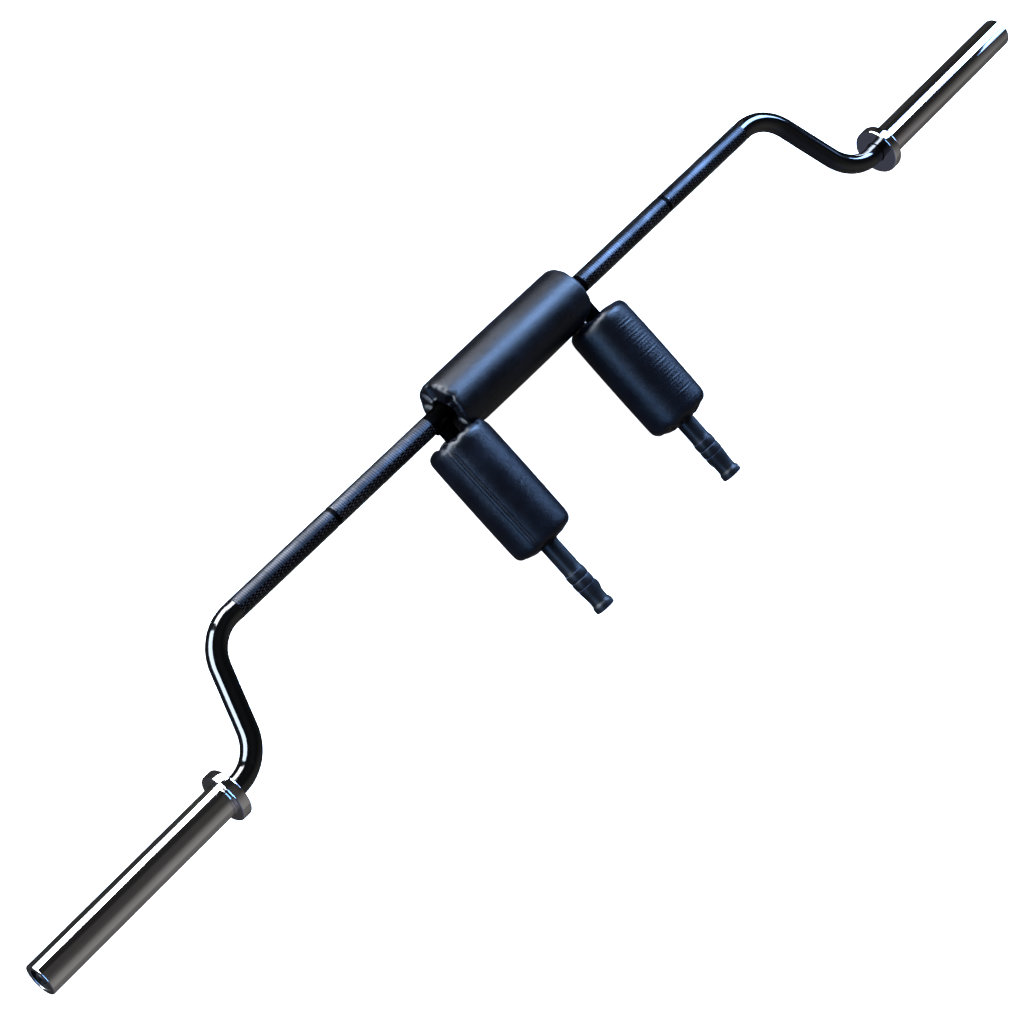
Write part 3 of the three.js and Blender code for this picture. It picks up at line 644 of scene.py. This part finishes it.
arm = {"radius": 0.0127, "wall": 0.0025, "weld": 0.0042, "ripples": 44, "sway": 0.12, "uneven": 0.07, "flat": 0.42,
       "corners": 64}
grip = {
    "length": 0.134, "radius": 0.0147, "bore": 0.013, "ringRise": 0.0015, "waistDip": 0.0008, "flareRise": 0.0015,
    "endWall": 0.003, "round": 0.002, "pitch": 0.0136, "firstGroove": 0.0706, "groove": 0.0009,
    "grooveWidth": 0.0016, "ridge": 0.0032, "ridgeLength": 0.023, "flare": 0.014, "corners": 96,
    "lip": 0.0006, "highlightSpan": (0.0004, 0.0011), "ridgeTurns": {"left": 0, "right": -100},
}


def makeArmTube(side):
    centre = (sides[side] * armX, barY, barZ)
    far = barY - gripEnd - grip["endWall"] - 0.0003
    inner = arm["radius"] - arm["wall"]
    near = barRadius * 0.8
    stations = [(near, inner), (near, arm["radius"]), (near + 0.02, arm["radius"]), (far / 2, arm["radius"]),
                (far - 0.0005, arm["radius"]), (far, arm["radius"] - 0.0005), (far, inner)]
    tube = turnedPiece(side + "_arm_bar", (0, -1, 0), centre, stations, arm["corners"], hollow=True)
    # the arm tube is unreflecting black: painted shade under its pad
    end(tube, "shadeBlack", "frame", [side + "_arm_tube"])


def makeWeld(side):  # a row of overlapping ripples along the saddle line
    made = []
    for i in range(arm["ripples"]):
        turn = 2 * pi * (i + arm["sway"] * sin(i * 2.3)) / arm["ripples"]
        across, up = arm["radius"] * cos(turn), arm["radius"] * sin(turn)
        forward = sqrt(max(barRadius ** 2 - up ** 2, 0))
        size = arm["weld"] * (1 + arm["uneven"] * sin(i * 1.7))
        bpy.ops.mesh.primitive_uv_sphere_add(
            segments=14, ring_count=8, radius=size, rotation=(0, -turn, 0),
            location=(sides[side] * armX + across, barY - forward, barZ + up))
        ripple = bpy.context.object
        bpy.ops.object.mode_set(mode="EDIT")
        bpy.ops.transform.resize(value=(1, 1, arm["flat"]), orient_type="LOCAL")
        bpy.ops.object.mode_set(mode="OBJECT")
        made.append(ripple)
    bpy.ops.object.select_all(action="DESELECT")
    for ripple in made:
        ripple.select_set(True)
    bpy.context.view_layer.objects.active = made[0]
    bpy.ops.object.join()
    bead = begin(side + "_weld_bead")
    # the weld is unreflecting black: painted shade under the pads
    end(bead, "shadeBlack", "frame", [side + "_arm_weld"], 60)


def gripStations():
    reach = barY - gripEnd
    start, r = reach - grip["length"], grip["radius"]
    grooves = [reach - grip["firstGroove"] + i * grip["pitch"] for i in range(3)]
    half, ring = grip["grooveWidth"] / 2, r + grip["ringRise"]
    points = [(start, r - grip["lip"]), (start + grip["lip"], r)]
    points += [(start + (grooves[0] - 0.004 - start) * share, r) for share in (0.3, 0.6, 0.9)]
    points += [(grooves[0] - 0.0035, r), (grooves[0] - 0.0015, r + 0.0005), (grooves[0] - half, r + 0.0007)]
    for i, groove in enumerate(grooves):
        points += [(groove - half * 0.7, r - grip["groove"]), (groove + half * 0.6, r - grip["groove"])]
        points += [(groove + half * 0.7, r + 0.0006), (groove + half, r + 0.0009)]
        if i < 2:
            stop = grooves[i + 1]
            for share in (0.09, 0.15, 0.24, 0.36, 0.5, 0.64, 0.76, 0.85, 0.91, 0.95):
                lift = sin(pi * share) ** 0.32
                points.append((groove + (stop - groove) * share, r + 0.0003 + (ring - r - 0.0003) * lift))
    last = grooves[-1]
    points += [(last + 0.0015, r + 0.0009)]
    waist = r - grip["waistDip"]
    for i in range(1, 13):
        point = last + 0.0015 + (grip["ridgeLength"] - 0.0015) * (i / 12)
        points.append((point, r + 0.0008 - (r + 0.0008 - waist) * smooth(0, 1, i / 12)))
    flareStart, flare = reach - grip["flare"], r + grip["flareRise"]
    points.append((flareStart - 0.006, waist))
    for i in range(9):
        points.append((flareStart + 0.006 * (i / 8), waist + (flare - waist) * smooth(0, 1, i / 8)))
    points += arc(reach - grip["round"], flare - grip["round"], grip["round"], 0, 90, 6)
    points += [(reach, r * 0.6), (reach - 0.0004, r * 0.55), (reach - 0.0004, r * 0.1)]  # moulding mark
    return points, grooves


def makeGrip(side):
    centre = (sides[side] * armX, barY, barZ)
    outer, grooves = gripStations()
    reach = barY - gripEnd
    bore = grip["bore"]
    inside = [(reach - grip["endWall"], bore * 0.1), (reach - grip["endWall"], bore), (outer[0][0], bore)]
    piece = turnedPiece(side + "_grip_rubber", (0, -1, 0), centre, inside + outer, grip["corners"])
    facing = radians(grip["ridgeTurns"][side])
    ridgeWay = Vector((cos(facing), 0, sin(facing)))
    crest = grooves[-1] + grip["ridgeLength"] * 0.36

    def onCrest(vert):
        away = Vector((vert.co.x - centre[0], 0, vert.co.z - barZ))
        along = barY - vert.co.y
        near = abs(along - crest) < 0.0022 and away.length > bore + 0.001
        return near and away.normalized().dot(ridgeWay) > 0.93

    choose(piece, "verts", onCrest)
    bpy.ops.transform.translate(
        value=ridgeWay * grip["ridge"] * 0.8, use_proportional_edit=True, use_proportional_connected=True,
        proportional_edit_falloff="SMOOTH", proportional_size=grip["ridgeLength"] * 0.4)
    end(piece, "rubber", "frame", [side + "_grip"], 40)
    low, high = grip["highlightSpan"]  # the far edges of the grooves, given a pale colour: painted highlight lines
    marked(piece, "lip", [1.0 if any(low < barY - v.co.y - groove < high for groove in grooves) else 0.0
                          for v in piece.data.vertices])


for side in sides:
    makeArmTube(side)
    makeWeld(side)
    makeGrip(side)
print("arms and grips are made")


press = {"gap": 0.0018, "fade": 0.036, "neckFade": 0.8, "edge": 0.014, "gather": 0.0015, "weld": 0.004, "hold": 0.001}
hem = {"radius": 0.0034, "clearance": 0.003, "elastic": 0.0016, "around": 10, "start": 70, "steps": 11}
cover = {
    "columns": 96, "thickness": 0.0012, "crown": 0.0008, "slack": 0.0004, "fullness": 0.0012, "crumple": 0.0005,
    "cap": 0.0022, "floor": 0.00005, "rest": 0.0015, "frames": 20, "flatStep": 0.0022, "cornerStep": 0.0028,
    "foldShadeDepth": 0.005, "heldFold": 0.003, "shoulder": 0.012, "streakStart": 0.006,
}
fabric = {
    "quality": 5, "mass": 0.01, "tension_stiffness": 25, "compression_stiffness": 25, "shear_stiffness": 12,
    "bending_stiffness": 1.5, "vertex_group_mass": "hold", "use_pressure": True, "uniform_pressure_force": 60.0,
}
foam = {"endGap": 0.005, "gap": 0.0006, "clearance": 0.0004, "soften": 0.009, "columns": 64, "rows": 16,
        "chamfer": 0.002, "lift": 0.002}
padSizes = {
    "neck_pad": {
        "radius": 0.048, "round": 0.0065, "near": 0.141, "far": 0.149, "bars": (0.0155, 0.0155), "row": 0.0042,
        "seed": 3, "seam": (-104, -104, 0.012, 0.278),
        "folds": [  # near end: angle, width in degrees, depth, reach from the hem
            (17, 7, 0.0072, 0.034), (76, 5, 0.0066, 0.036), (147, 7, 0.0068, 0.032), (-12, 6, 0.0050, 0.030),
            (-48, 9, 0.0058, 0.030), (-95, 8, 0.0056, 0.030), (-150, 8, 0.0060, 0.030),
            (98, 3.5, 0.0034, 0.022), (38, 3, 0.0016, 0.040), (57, 2.5, 0.0012, 0.052), (121, 3, 0.0018, 0.026),
            (30, 2, 0.0008, 0.060), (67, 2, 0.0007, 0.058), (88, 2, 0.0007, 0.050)],
        "farFolds": (11, 5, 0.0022, 0.030), "streaks": (0.050, 1.0),
    },
    "left_arm_pad": {
        "radius": 0.0505, "round": 0.0120, "start": 0.034, "length": 0.204, "bars": (0.0127, 0.0147), "row": 0.0034,
        "seed": 11, "seam": (140, 136.3, 0.009, 0.192), "dish": 0.0030, "domes": (0, 0.005),
        "folds": [
            (171, 5, 0.0024, 0.022), (157, 3, 0.0018, 0.024), (146, 4, 0.0034, 0.034), (133, 3, 0.0018, 0.024),
            (120, 5, 0.0044, 0.040), (107, 3, 0.0018, 0.026), (95, 4, 0.0030, 0.032), (80, 3, 0.0022, 0.028),
            (64, 6, 0.0046, 0.042), (48, 3, 0.0020, 0.026), (32, 5, 0.0036, 0.036), (8, 6, 0.0040, 0.040),
            (-30, 7, 0.0044, 0.040), (-66, 6, 0.0040, 0.040), (-104, 7, 0.0044, 0.040), (-143, 6, 0.0042, 0.040)],
        "farFolds": (13, 5, 0.0030, 0.034), "streaks": (0.030, 0.9),
    },
    "right_arm_pad": {
        "radius": 0.0505, "round": 0.0135, "start": 0.050, "length": 0.204, "bars": (0.0127, 0.0179), "row": 0.0024,
        # lean: how far, within what depth; swell: angle, its two half-widths, height, within what distance
        "seed": 23, "seam": (-52, -52, 0.014, 0.188), "domes": (0, 0.006), "lean": (0.0045, 0.06),
        "swell": (205, 75, 30, 0.0028, 0.009),
        "folds": [
            (196, 4, 0.0016, 0.020), (183, 3, 0.0008, 0.016), (171, 3, 0.0018, 0.020), (160, 3, 0.0020, 0.020),
            (148, 3, 0.0024, 0.024), (137, 4, 0.0034, 0.028), (126, 3, 0.0022, 0.024), (115, 4, 0.0030, 0.026),
            (103, 3, 0.0020, 0.022), (88, 4, 0.0022, 0.022), (70, 4, 0.0022, 0.022), (48, 4, 0.0020, 0.024),
            (22, 5, 0.0020, 0.026), (-12, 7, 0.0030, 0.036), (-50, 6, 0.0034, 0.040), (-92, 7, 0.0036, 0.040),
            (-132, 6, 0.0034, 0.040)],
        "farFolds": (12, 5, 0.0028, 0.034), "streaks": (0.028, 0.9),
        "wrinkles": (74, 38, 0.00027, 0.0058),
    },
}
neckPad, hemWidth = padSizes["neck_pad"], 2 * hem["radius"]
neckRadius = neckPad["radius"] + cover["crown"]


def padSide(name):
    return 1 if name.startswith("right") else -1


def vinylOf(name):
    return "neckVinyl" if name == "neck_pad" else "armVinyl"


def padsPress(name):
    return padSizes[name]["start"] < neckRadius + press["gap"] + press["gather"]


def neckReach(z):
    return sqrt(max(neckRadius ** 2 - z * z, 0))


def meetingDepth(name):
    return (padSizes[name]["start"] + neckRadius) / 2


def pressedNeck(x, y, z):  # x, y, z from the bar's axis; also how firmly the place is held
    side, weld = "left" if x < 0 else "right", arm["radius"] + press["weld"]
    reach = neckPad["near" if x < 0 else "far"]
    armSide = armX - arm["radius"] - press["weld"] - press["gap"] - press["gather"]
    level = smooth(weld + press["edge"] * 1.5, weld, abs(z))
    deep = reach - abs(x)
    shift = max(0, reach - armSide) * smooth(hemWidth, -hemWidth, y) * level
    shift *= smooth(press["fade"] + hemWidth, hemWidth, deep)
    lift, name = 0, side + "_arm_pad"
    if padsPress(name) and y < 0:
        surface = neckReach(z)
        give = max(0, surface - meetingDepth(name) + press["gap"] / 2)
        inner = armX - padSizes[name]["radius"]
        lift = give * smooth(inner - press["edge"] / 2, inner + press["edge"] / 2, abs(x))
        lift *= smooth(press["fade"] * press["neckFade"], hemWidth, surface + y)
    held = min(1, (shift + lift) / press["hold"])
    return x - sides[side] * shift, y + lift, z, held


def pressedArm(name, x, y, z):
    if not padsPress(name):
        return x, y, z, 0
    start = padSizes[name]["start"]
    neckEnd = neckPad["near" if padSide(name) < 0 else "far"]
    meet = min(meetingDepth(name), neckReach(z)) + press["gap"] / 2 + press["gather"]
    give = max(0, meet - start) * smooth(neckEnd + 2 * press["edge"], neckEnd + 0.0003, abs(x))
    give *= smooth(press["fade"] + hemWidth, hemWidth, -y - start)
    return x, y - give, z, min(1, give / press["hold"])


def padPoint(name, depth, radius, angle, inset=0.0):
    c, s = radius * cos(angle), radius * sin(angle)
    if name == "neck_pad":
        x, y, z, held = pressedNeck(depth - padSizes[name]["near"], c, s)
    else:
        x, y, z, held = pressedArm(name, padSide(name) * armX + c, -padSizes[name]["start"] - depth, s)
    rest = inset - barZ + cover["floor"]
    held = max(held, smooth(cover["rest"], 0, z - rest))
    return Vector((x, barY + y, barZ + max(z, rest))), held


def padLength(name):
    pad = padSizes[name]
    return pad["near"] + pad["far"] if name == "neck_pad" else pad["length"]


def endRows(pad, bar, dome=0.0, dish=0.0):  # one end: depth, radius, outward direction, distance from the hem
    opening, corner, roll = bar + hem["clearance"], pad["round"], hem["radius"]
    rows = []
    for i in range(hem["steps"] + 1):
        a = radians(hem["start"] + (-180 - hem["start"]) * i / hem["steps"])
        out, up = cos(a), sin(a)
        rows.append((roll + roll * out, opening + roll + roll * up, out, up, 0.0))
    flatStart, flatStop = opening + roll, pad["radius"] - corner
    flat, steps = flatStop - flatStart, max(2, round((flatStop - flatStart) / cover["flatStep"]))
    for i in range(1, steps):
        share = i / steps
        depth = dish * sin(pi * share ** 1.4) + dome * share ** 1.5
        rows.append((depth, flatStart + flat * share, -1, 0, flat * share))
    steps = max(5, round(corner * pi / 2 / cover["cornerStep"]))
    for i in range(steps + 1):
        a = pi / 2 * i / steps
        out, up = cos(a), sin(a)
        rows.append((dome + corner - corner * out, flatStop + corner * up, -out, up, flat + corner * a))
    return rows


def turnFrom(angle, middle):  # degrees from the middle, between -180 and 180
    return (degrees(angle) - middle + 180) % 360 - 180


def ringFolds(pad, rng):
    count, width, depth, reach = pad["farFolds"]
    return [(360 * (i + rng.uniform(-0.28, 0.28)) / count, width * rng.uniform(0.7, 1.3),
             depth * rng.uniform(0.6, 1.25), reach * rng.uniform(0.8, 1.2)) for i in range(count)]


def foldDepth(folds, angle, along):
    total = 0
    for middle, width, depth, reach in folds:
        away = turnFrom(angle, middle)
        if abs(away) < 4 * width:
            total = max(total, depth * exp(-abs(away / width) ** 1.5) * smooth(reach, reach * 0.35, along))
    return total


def fullness(folds, angle, along, far):  # the cover stands out between its folds
    nearest = min(abs(turnFrom(angle, f[0])) / f[1] for f in folds if f[2] > 0.002)
    return min(1, nearest / 3) * sin(pi * min(1, along / far)) ** 0.8


def waves(rng, counts):
    terms = [(k, rng.uniform(0, 2 * pi), rng.uniform(0.5, 1)) for k in counts]
    return lambda value: sum(a * sin(k * value + p) for k, p, a in terms) / len(terms)


def coverRows(name):  # all rows, with 0 for the near end, 1 for the far end and 2 between them
    pad, length = padSizes[name], padLength(name)
    domes = pad.get("domes", (0, 0))
    near = endRows(pad, pad["bars"][0], domes[0], pad.get("dish", 0.0))
    far = endRows(pad, pad["bars"][1], domes[1])
    start, stop = pad["round"] + domes[0], length - pad["round"] - domes[1]
    count = round((stop - start) / pad["row"])
    rows = [(*row, 0) for row in near]
    rows += [(start + (stop - start) * i / count, pad["radius"], 0, 1, None, 2) for i in range(1, count)]
    rows += [(length - s, r, -ns, nr, along, 1) for s, r, ns, nr, along in far[::-1]]
    return rows


def meshOf(name, points, faces):  # a new piece, its faces turned outwards
    data = bpy.data.meshes.new(name)
    data.from_pydata(points, [], faces)
    data.update()
    piece = linked(name, data)
    shape = bmesh.new()
    shape.from_mesh(data)
    bmesh.ops.recalc_face_normals(shape, faces=shape.faces)
    if shape.calc_volume(signed=True) < 0:
        bmesh.ops.reverse_faces(shape, faces=shape.faces)
    shape.to_mesh(data)
    shape.free()
    return piece


def ringFaces(rows, columns, closed):
    faces = []
    for i in range(rows if closed else rows - 1):
        for j in range(columns):
            a, b = i * columns + j, i * columns + (j + 1) % columns
            step = columns if i < rows - 1 else -i * columns
            faces.append((a, a + step, b + step, b))
    return faces


def applied(piece, kind, **settings):
    modifier = piece.modifiers.new(kind.lower(), kind)
    for key, value in settings.items():
        setattr(modifier, key, value)
    bpy.context.view_layer.objects.active = piece
    bpy.ops.object.modifier_apply(modifier=modifier.name)


def inflated(piece, holds):  # a short cloth pass: the cover fills between what holds it
    group = piece.vertex_groups.new(name="hold")
    for index, weight in enumerate(holds):
        if weight > 0.01:
            group.add([index], weight, "REPLACE")
    cloth = piece.modifiers.new("cloth", "CLOTH")
    for key, value in fabric.items():
        setattr(cloth.settings, key, value)
    cloth.settings.effector_weights.gravity = 0
    cloth.collision_settings.use_collision = False
    before = [v.co.copy() for v in piece.data.vertices]
    for step in range(1, cover["frames"] + 1):
        bpy.context.scene.frame_set(step)
    shown = piece.evaluated_get(bpy.context.evaluated_depsgraph_get()).data
    after = [v.co.copy() for v in shown.vertices]
    piece.modifiers.remove(cloth)
    piece.vertex_groups.remove(group)
    moved = 0
    for vert, old, new in zip(piece.data.vertices, before, after):
        step = new - old
        moved = max(moved, step.length)
        if step.length > cover["cap"]:
            step *= cover["cap"] / step.length
        vert.co = old + step
        vert.co.z = max(vert.co.z, cover["floor"])
    bpy.context.scene.frame_set(1)
    print(piece.name, "filled out by up to", round(moved * 1000, 2), "mm")


def makeCover(name):
    pad, rows, length = padSizes[name], coverRows(name), padLength(name)
    rng, columns = random.Random(pad["seed"]), cover["columns"]
    folds = {0: pad["folds"], 1: ringFolds(pad, rng)}
    crumple = {which: waves(rng, (9, 13, 19, 27)) for which in (0, 1)}
    slack, drift = waves(rng, (2, 3, 5)), waves(rng, (18, 31, 47))
    faceSpan = [pad["radius"] - pad["round"] - bar - hem["clearance"] - hem["radius"] for bar in pad["bars"]]
    lean, leanDepth = pad.get("lean", (0, 1))
    points, holds, foldShades, gathers = [], [], [], []
    for s, r, ns, nr, along, zone in rows:
        for j in range(columns):
            angle = 2 * pi * (j + 0.5) / columns
            lift, sunk, drawn = 0, 0, 0
            if zone == 2:
                lift = cover["crown"] * (1 - (2 * s / length - 1) ** 2) + cover["slack"] * slack(angle) * drift(s)
            for which in (0, 1) if zone == 2 else (zone,):
                distance, ring = along, faceSpan[which] + pad["round"] * 1.2
                if zone == 2:
                    depthIn = s if which == 0 else length - s
                    distance = faceSpan[which] + pad["round"] * pi / 2 + depthIn - pad["round"]
                drawn = max(drawn, smooth(pad["streaks"][0], cover["streakStart"], distance))
                sunk = max(sunk, foldDepth(folds[which], angle, distance))
                if distance < ring:
                    lift += cover["fullness"] * fullness(folds[which], angle, distance, ring)
                lift += cover["crumple"] * crumple[which](angle) * smooth(ring * 1.5, 0, distance)
            inHem = along == 0
            change = (lift - sunk) * (0.25 if inHem else 1)
            outwards = smooth(pad["bars"][0] + hemWidth, pad["radius"] - cover["shoulder"], r)
            deeper = lean * max(0, cos(angle)) * (outwards * smooth(leanDepth, 0.0, s))
            if zone == 0 and "swell" in pad:
                middle, outer, inner, height, reach = pad["swell"]
                deeper -= height * smooth(outer, inner, abs(turnFrom(angle, middle))) * smooth(reach, 0.0, along)
            point, held = padPoint(name, s + ns * change + deeper, r + nr * change, angle)
            points.append(point)
            # how deep each fold is, for the painted shade in it
            foldShades.append(min(1, sunk / cover["foldShadeDepth"]))
            gathers.append(drawn * pad["streaks"][1] * (0.65 + 0.5 * crumple[0](2 * angle)))
            holds.append(max(held, 1 if inHem else min(1, sunk / cover["heldFold"])))
    piece = meshOf(name + "_vinyl", points, ringFaces(len(rows), columns, False))
    marked(piece, "foldShade", foldShades)
    marked(piece, "gather", gathers)
    inflated(piece, holds)
    applied(piece, "SUBSURF", levels=1, render_levels=1)
    if "wrinkles" in pad:
        wrinkled(piece, name, rng)
    applied(piece, "SOLIDIFY", thickness=cover["thickness"], offset=-1, use_even_offset=False)
    settle(piece, vinylOf(name), "frame", [name + "_cover"], 0)
    for face in piece.data.polygons:
        face.use_smooth = True
    return piece


def wrinkled(piece, name, rng):  # fine wrinkles across the pad, where the cover is a little long
    middle, width, height, pitch = padSizes[name]["wrinkles"]
    length = padLength(name)
    first, second = waves(rng, (1, 1.31, 0.77)), waves(rng, (21, 34, 55))
    normals = [vert.normal.copy() for vert in piece.data.vertices]
    for vert, normal in zip(piece.data.vertices, normals):
        x, z = vert.co.x - padSide(name) * armX, vert.co.z - barZ
        depth, away = barY - vert.co.y - padSizes[name]["start"], turnFrom(atan2(z, x), middle)
        strength = exp(-(away / width) ** 2) * smooth(0.012, 0.03, depth)
        strength *= smooth(length - 0.008, length - 0.03, depth)
        phase = 2 * pi * depth / pitch + 0.05 * away + 1.5 * second(depth)
        vert.co += normal * height * strength * first(phase) * 1.6


def makeFoam(name):
    pad, length = padSizes[name], padLength(name)
    start = hemWidth + foam["endGap"]
    outer = pad["radius"] - cover["thickness"] - foam["gap"] - cover["crown"]
    inner, corner = max(pad["bars"]) + foam["clearance"], foam["soften"]
    rows = [(start, inner + foam["chamfer"]), (start, outer - corner)]
    rows += [(start + corner - corner * cos(a), outer - corner + corner * sin(a))
             for a in [pi / 2 * i / 5 for i in range(1, 6)]]
    count, columns = foam["rows"], foam["columns"]
    rows += [(start + corner + (length - 2 * start - 2 * corner) * i / count, outer) for i in range(1, count)]
    rows += [(length - s, r) for s, r in rows[6::-1]]
    rows += [(length - start - foam["chamfer"], inner), (length / 2, inner), (start + foam["chamfer"], inner)]
    points = [padPoint(name, s, r, 2 * pi * (j + 0.5) / columns, foam["lift"])[0]
              for s, r in rows for j in range(columns)]
    piece = meshOf(name + "_foam_core", points, ringFaces(len(rows), columns, True))
    settle(piece, "foam", "frame", [name + "_foam"], 40)


def makeElastics(name):
    ends = {"neck_pad": ("left", "right")}.get(name, ("inner", "outer"))
    for which, word in enumerate(ends):
        centre = padSizes[name]["bars"][which] + hem["clearance"] + hem["radius"]
        depth = hem["radius"] if which == 0 else padLength(name) - hem["radius"]
        rng, points = random.Random(which + 5), []
        for i in range(hem["around"]):
            a = 2 * pi * i / hem["around"]
            for j in range(cover["columns"]):
                turn = 2 * pi * (j + 0.5) / cover["columns"]
                size = hem["elastic"] * (1 + 0.06 * sin(24 * turn) + 0.04 * rng.uniform(-1, 1))
                along, radius = depth + size * cos(a), centre + size * sin(a)
                points.append(padPoint(name, along, radius, turn, foam["lift"])[0])
        piece = meshOf(f"{name}_{word}_band", points, ringFaces(hem["around"], cover["columns"], True))
        settle(piece, "elastic", "frame", [f"{name}_{word}_elastic"], 60)


seam = {
    "width": 0.0105, "rise": 0.0012, "stitch": 0.0026, "pitch": 0.0038, "thread": 0.00030,
    "lines": (-0.0036, -0.0015), "rows": 150, "margin": 0.003,
    "profile": [  # across, from edge to edge, and up
        (-1.04, -0.5), (-1.01, 0.1), (-0.97, 0.6), (-0.92, 0.85), (-0.76, 0.9), (-0.68, 0.35), (-0.6, 0.9),
        (-0.45, 0.95), (-0.36, 0.85), (-0.28, 0.4), (-0.2, 0.95), (0.0, 1.25), (0.3, 1.35), (0.6, 1.25), (0.8, 0.95),
        (0.93, 0.6), (1.0, 0.15), (1.04, -0.5)],
}


def makeSeam(name, coverPiece):  # the cover's overlap, sewn down with two lines of stitches
    first, last, start, stop = padSizes[name]["seam"]
    tree = BVHTree.FromObject(coverPiece, bpy.context.evaluated_depsgraph_get())
    radius, half = padSizes[name]["radius"], seam["width"] / 2

    def surface(depth, across):
        share = (depth - start) / (stop - start)
        angle = radians(first + (last - first) * share) + across / radius
        outside = padPoint(name, depth, radius * 1.4, angle, -1)[0]
        inside = padPoint(name, depth, radius * 0.5, angle, -1)[0]
        spot, normal = tree.ray_cast(outside, (inside - outside).normalized())[:2]
        return (spot, normal) if spot else (inside, (outside - inside).normalized())

    stitched, profile = [sewn / half for sewn in seam["lines"]], seam["profile"]
    rows, columns, points = seam["rows"], len(profile), []
    for i in range(rows + 1):
        depth = start + (stop - start) * i / rows
        fade = smooth(0, 0.06, i / rows) * smooth(1, 0.94, i / rows)
        pull = 1 + 0.12 * sin(2 * pi * (depth - start) / seam["pitch"])
        for across, height in profile:
            spot, normal = surface(depth, across * half)
            dip = pull if min(abs(across - sewn) for sewn in stitched) < 0.03 else 1
            points.append(spot + normal * (seam["rise"] * height * dip * (0.25 + 0.75 * fade)))
    ends = [tuple(range(columns)), tuple(range(rows * columns, (rows + 1) * columns))[::-1]]
    piece = meshOf(name + "_seam", points, ringFaces(rows + 1, columns, False) + ends)
    settle(piece, vinylOf(name), "frame", (), 50)
    # the stitch lines take the painted fold shade
    marked(piece, "foldShade", [1.0 if min(abs(profile[i % columns][0] - sewn) for sewn in stitched) < 0.02
                             else 0.0 for i in range(len(points))])

    bpy.ops.mesh.primitive_uv_sphere_add(segments=8, ring_count=6, radius=1)
    stitch = bpy.context.object
    points, faces = [], []
    count = int((stop - start - 2 * seam["margin"]) / seam["pitch"])
    for line in seam["lines"]:
        for i in range(count):
            depth = start + seam["margin"] + (i + 0.5) * seam["pitch"]
            spot, normal = surface(depth, line)
            ahead = (surface(depth + 0.002, line)[0] - surface(depth - 0.002, line)[0]).normalized()
            side = normal.cross(ahead).normalized()
            up = ahead.cross(side)
            axes = Matrix((ahead * seam["stitch"] / 2, side * seam["thread"], up * seam["thread"])).transposed()
            sewn = Matrix.Translation(spot + up * seam["rise"] * 0.62) @ axes.to_4x4()
            faces += [[len(points) + corner for corner in face.vertices] for face in stitch.data.polygons]
            points += [sewn @ vert.co for vert in stitch.data.vertices]
    bpy.data.objects.remove(stitch)
    settle(meshOf(name + "_stitches", points, faces), "thread", "frame", (), 60)


for name in padSizes:
    vinylCover = makeCover(name)
    makeFoam(name)
    makeElastics(name)
    makeSeam(name, vinylCover)
    print(name, "is made")
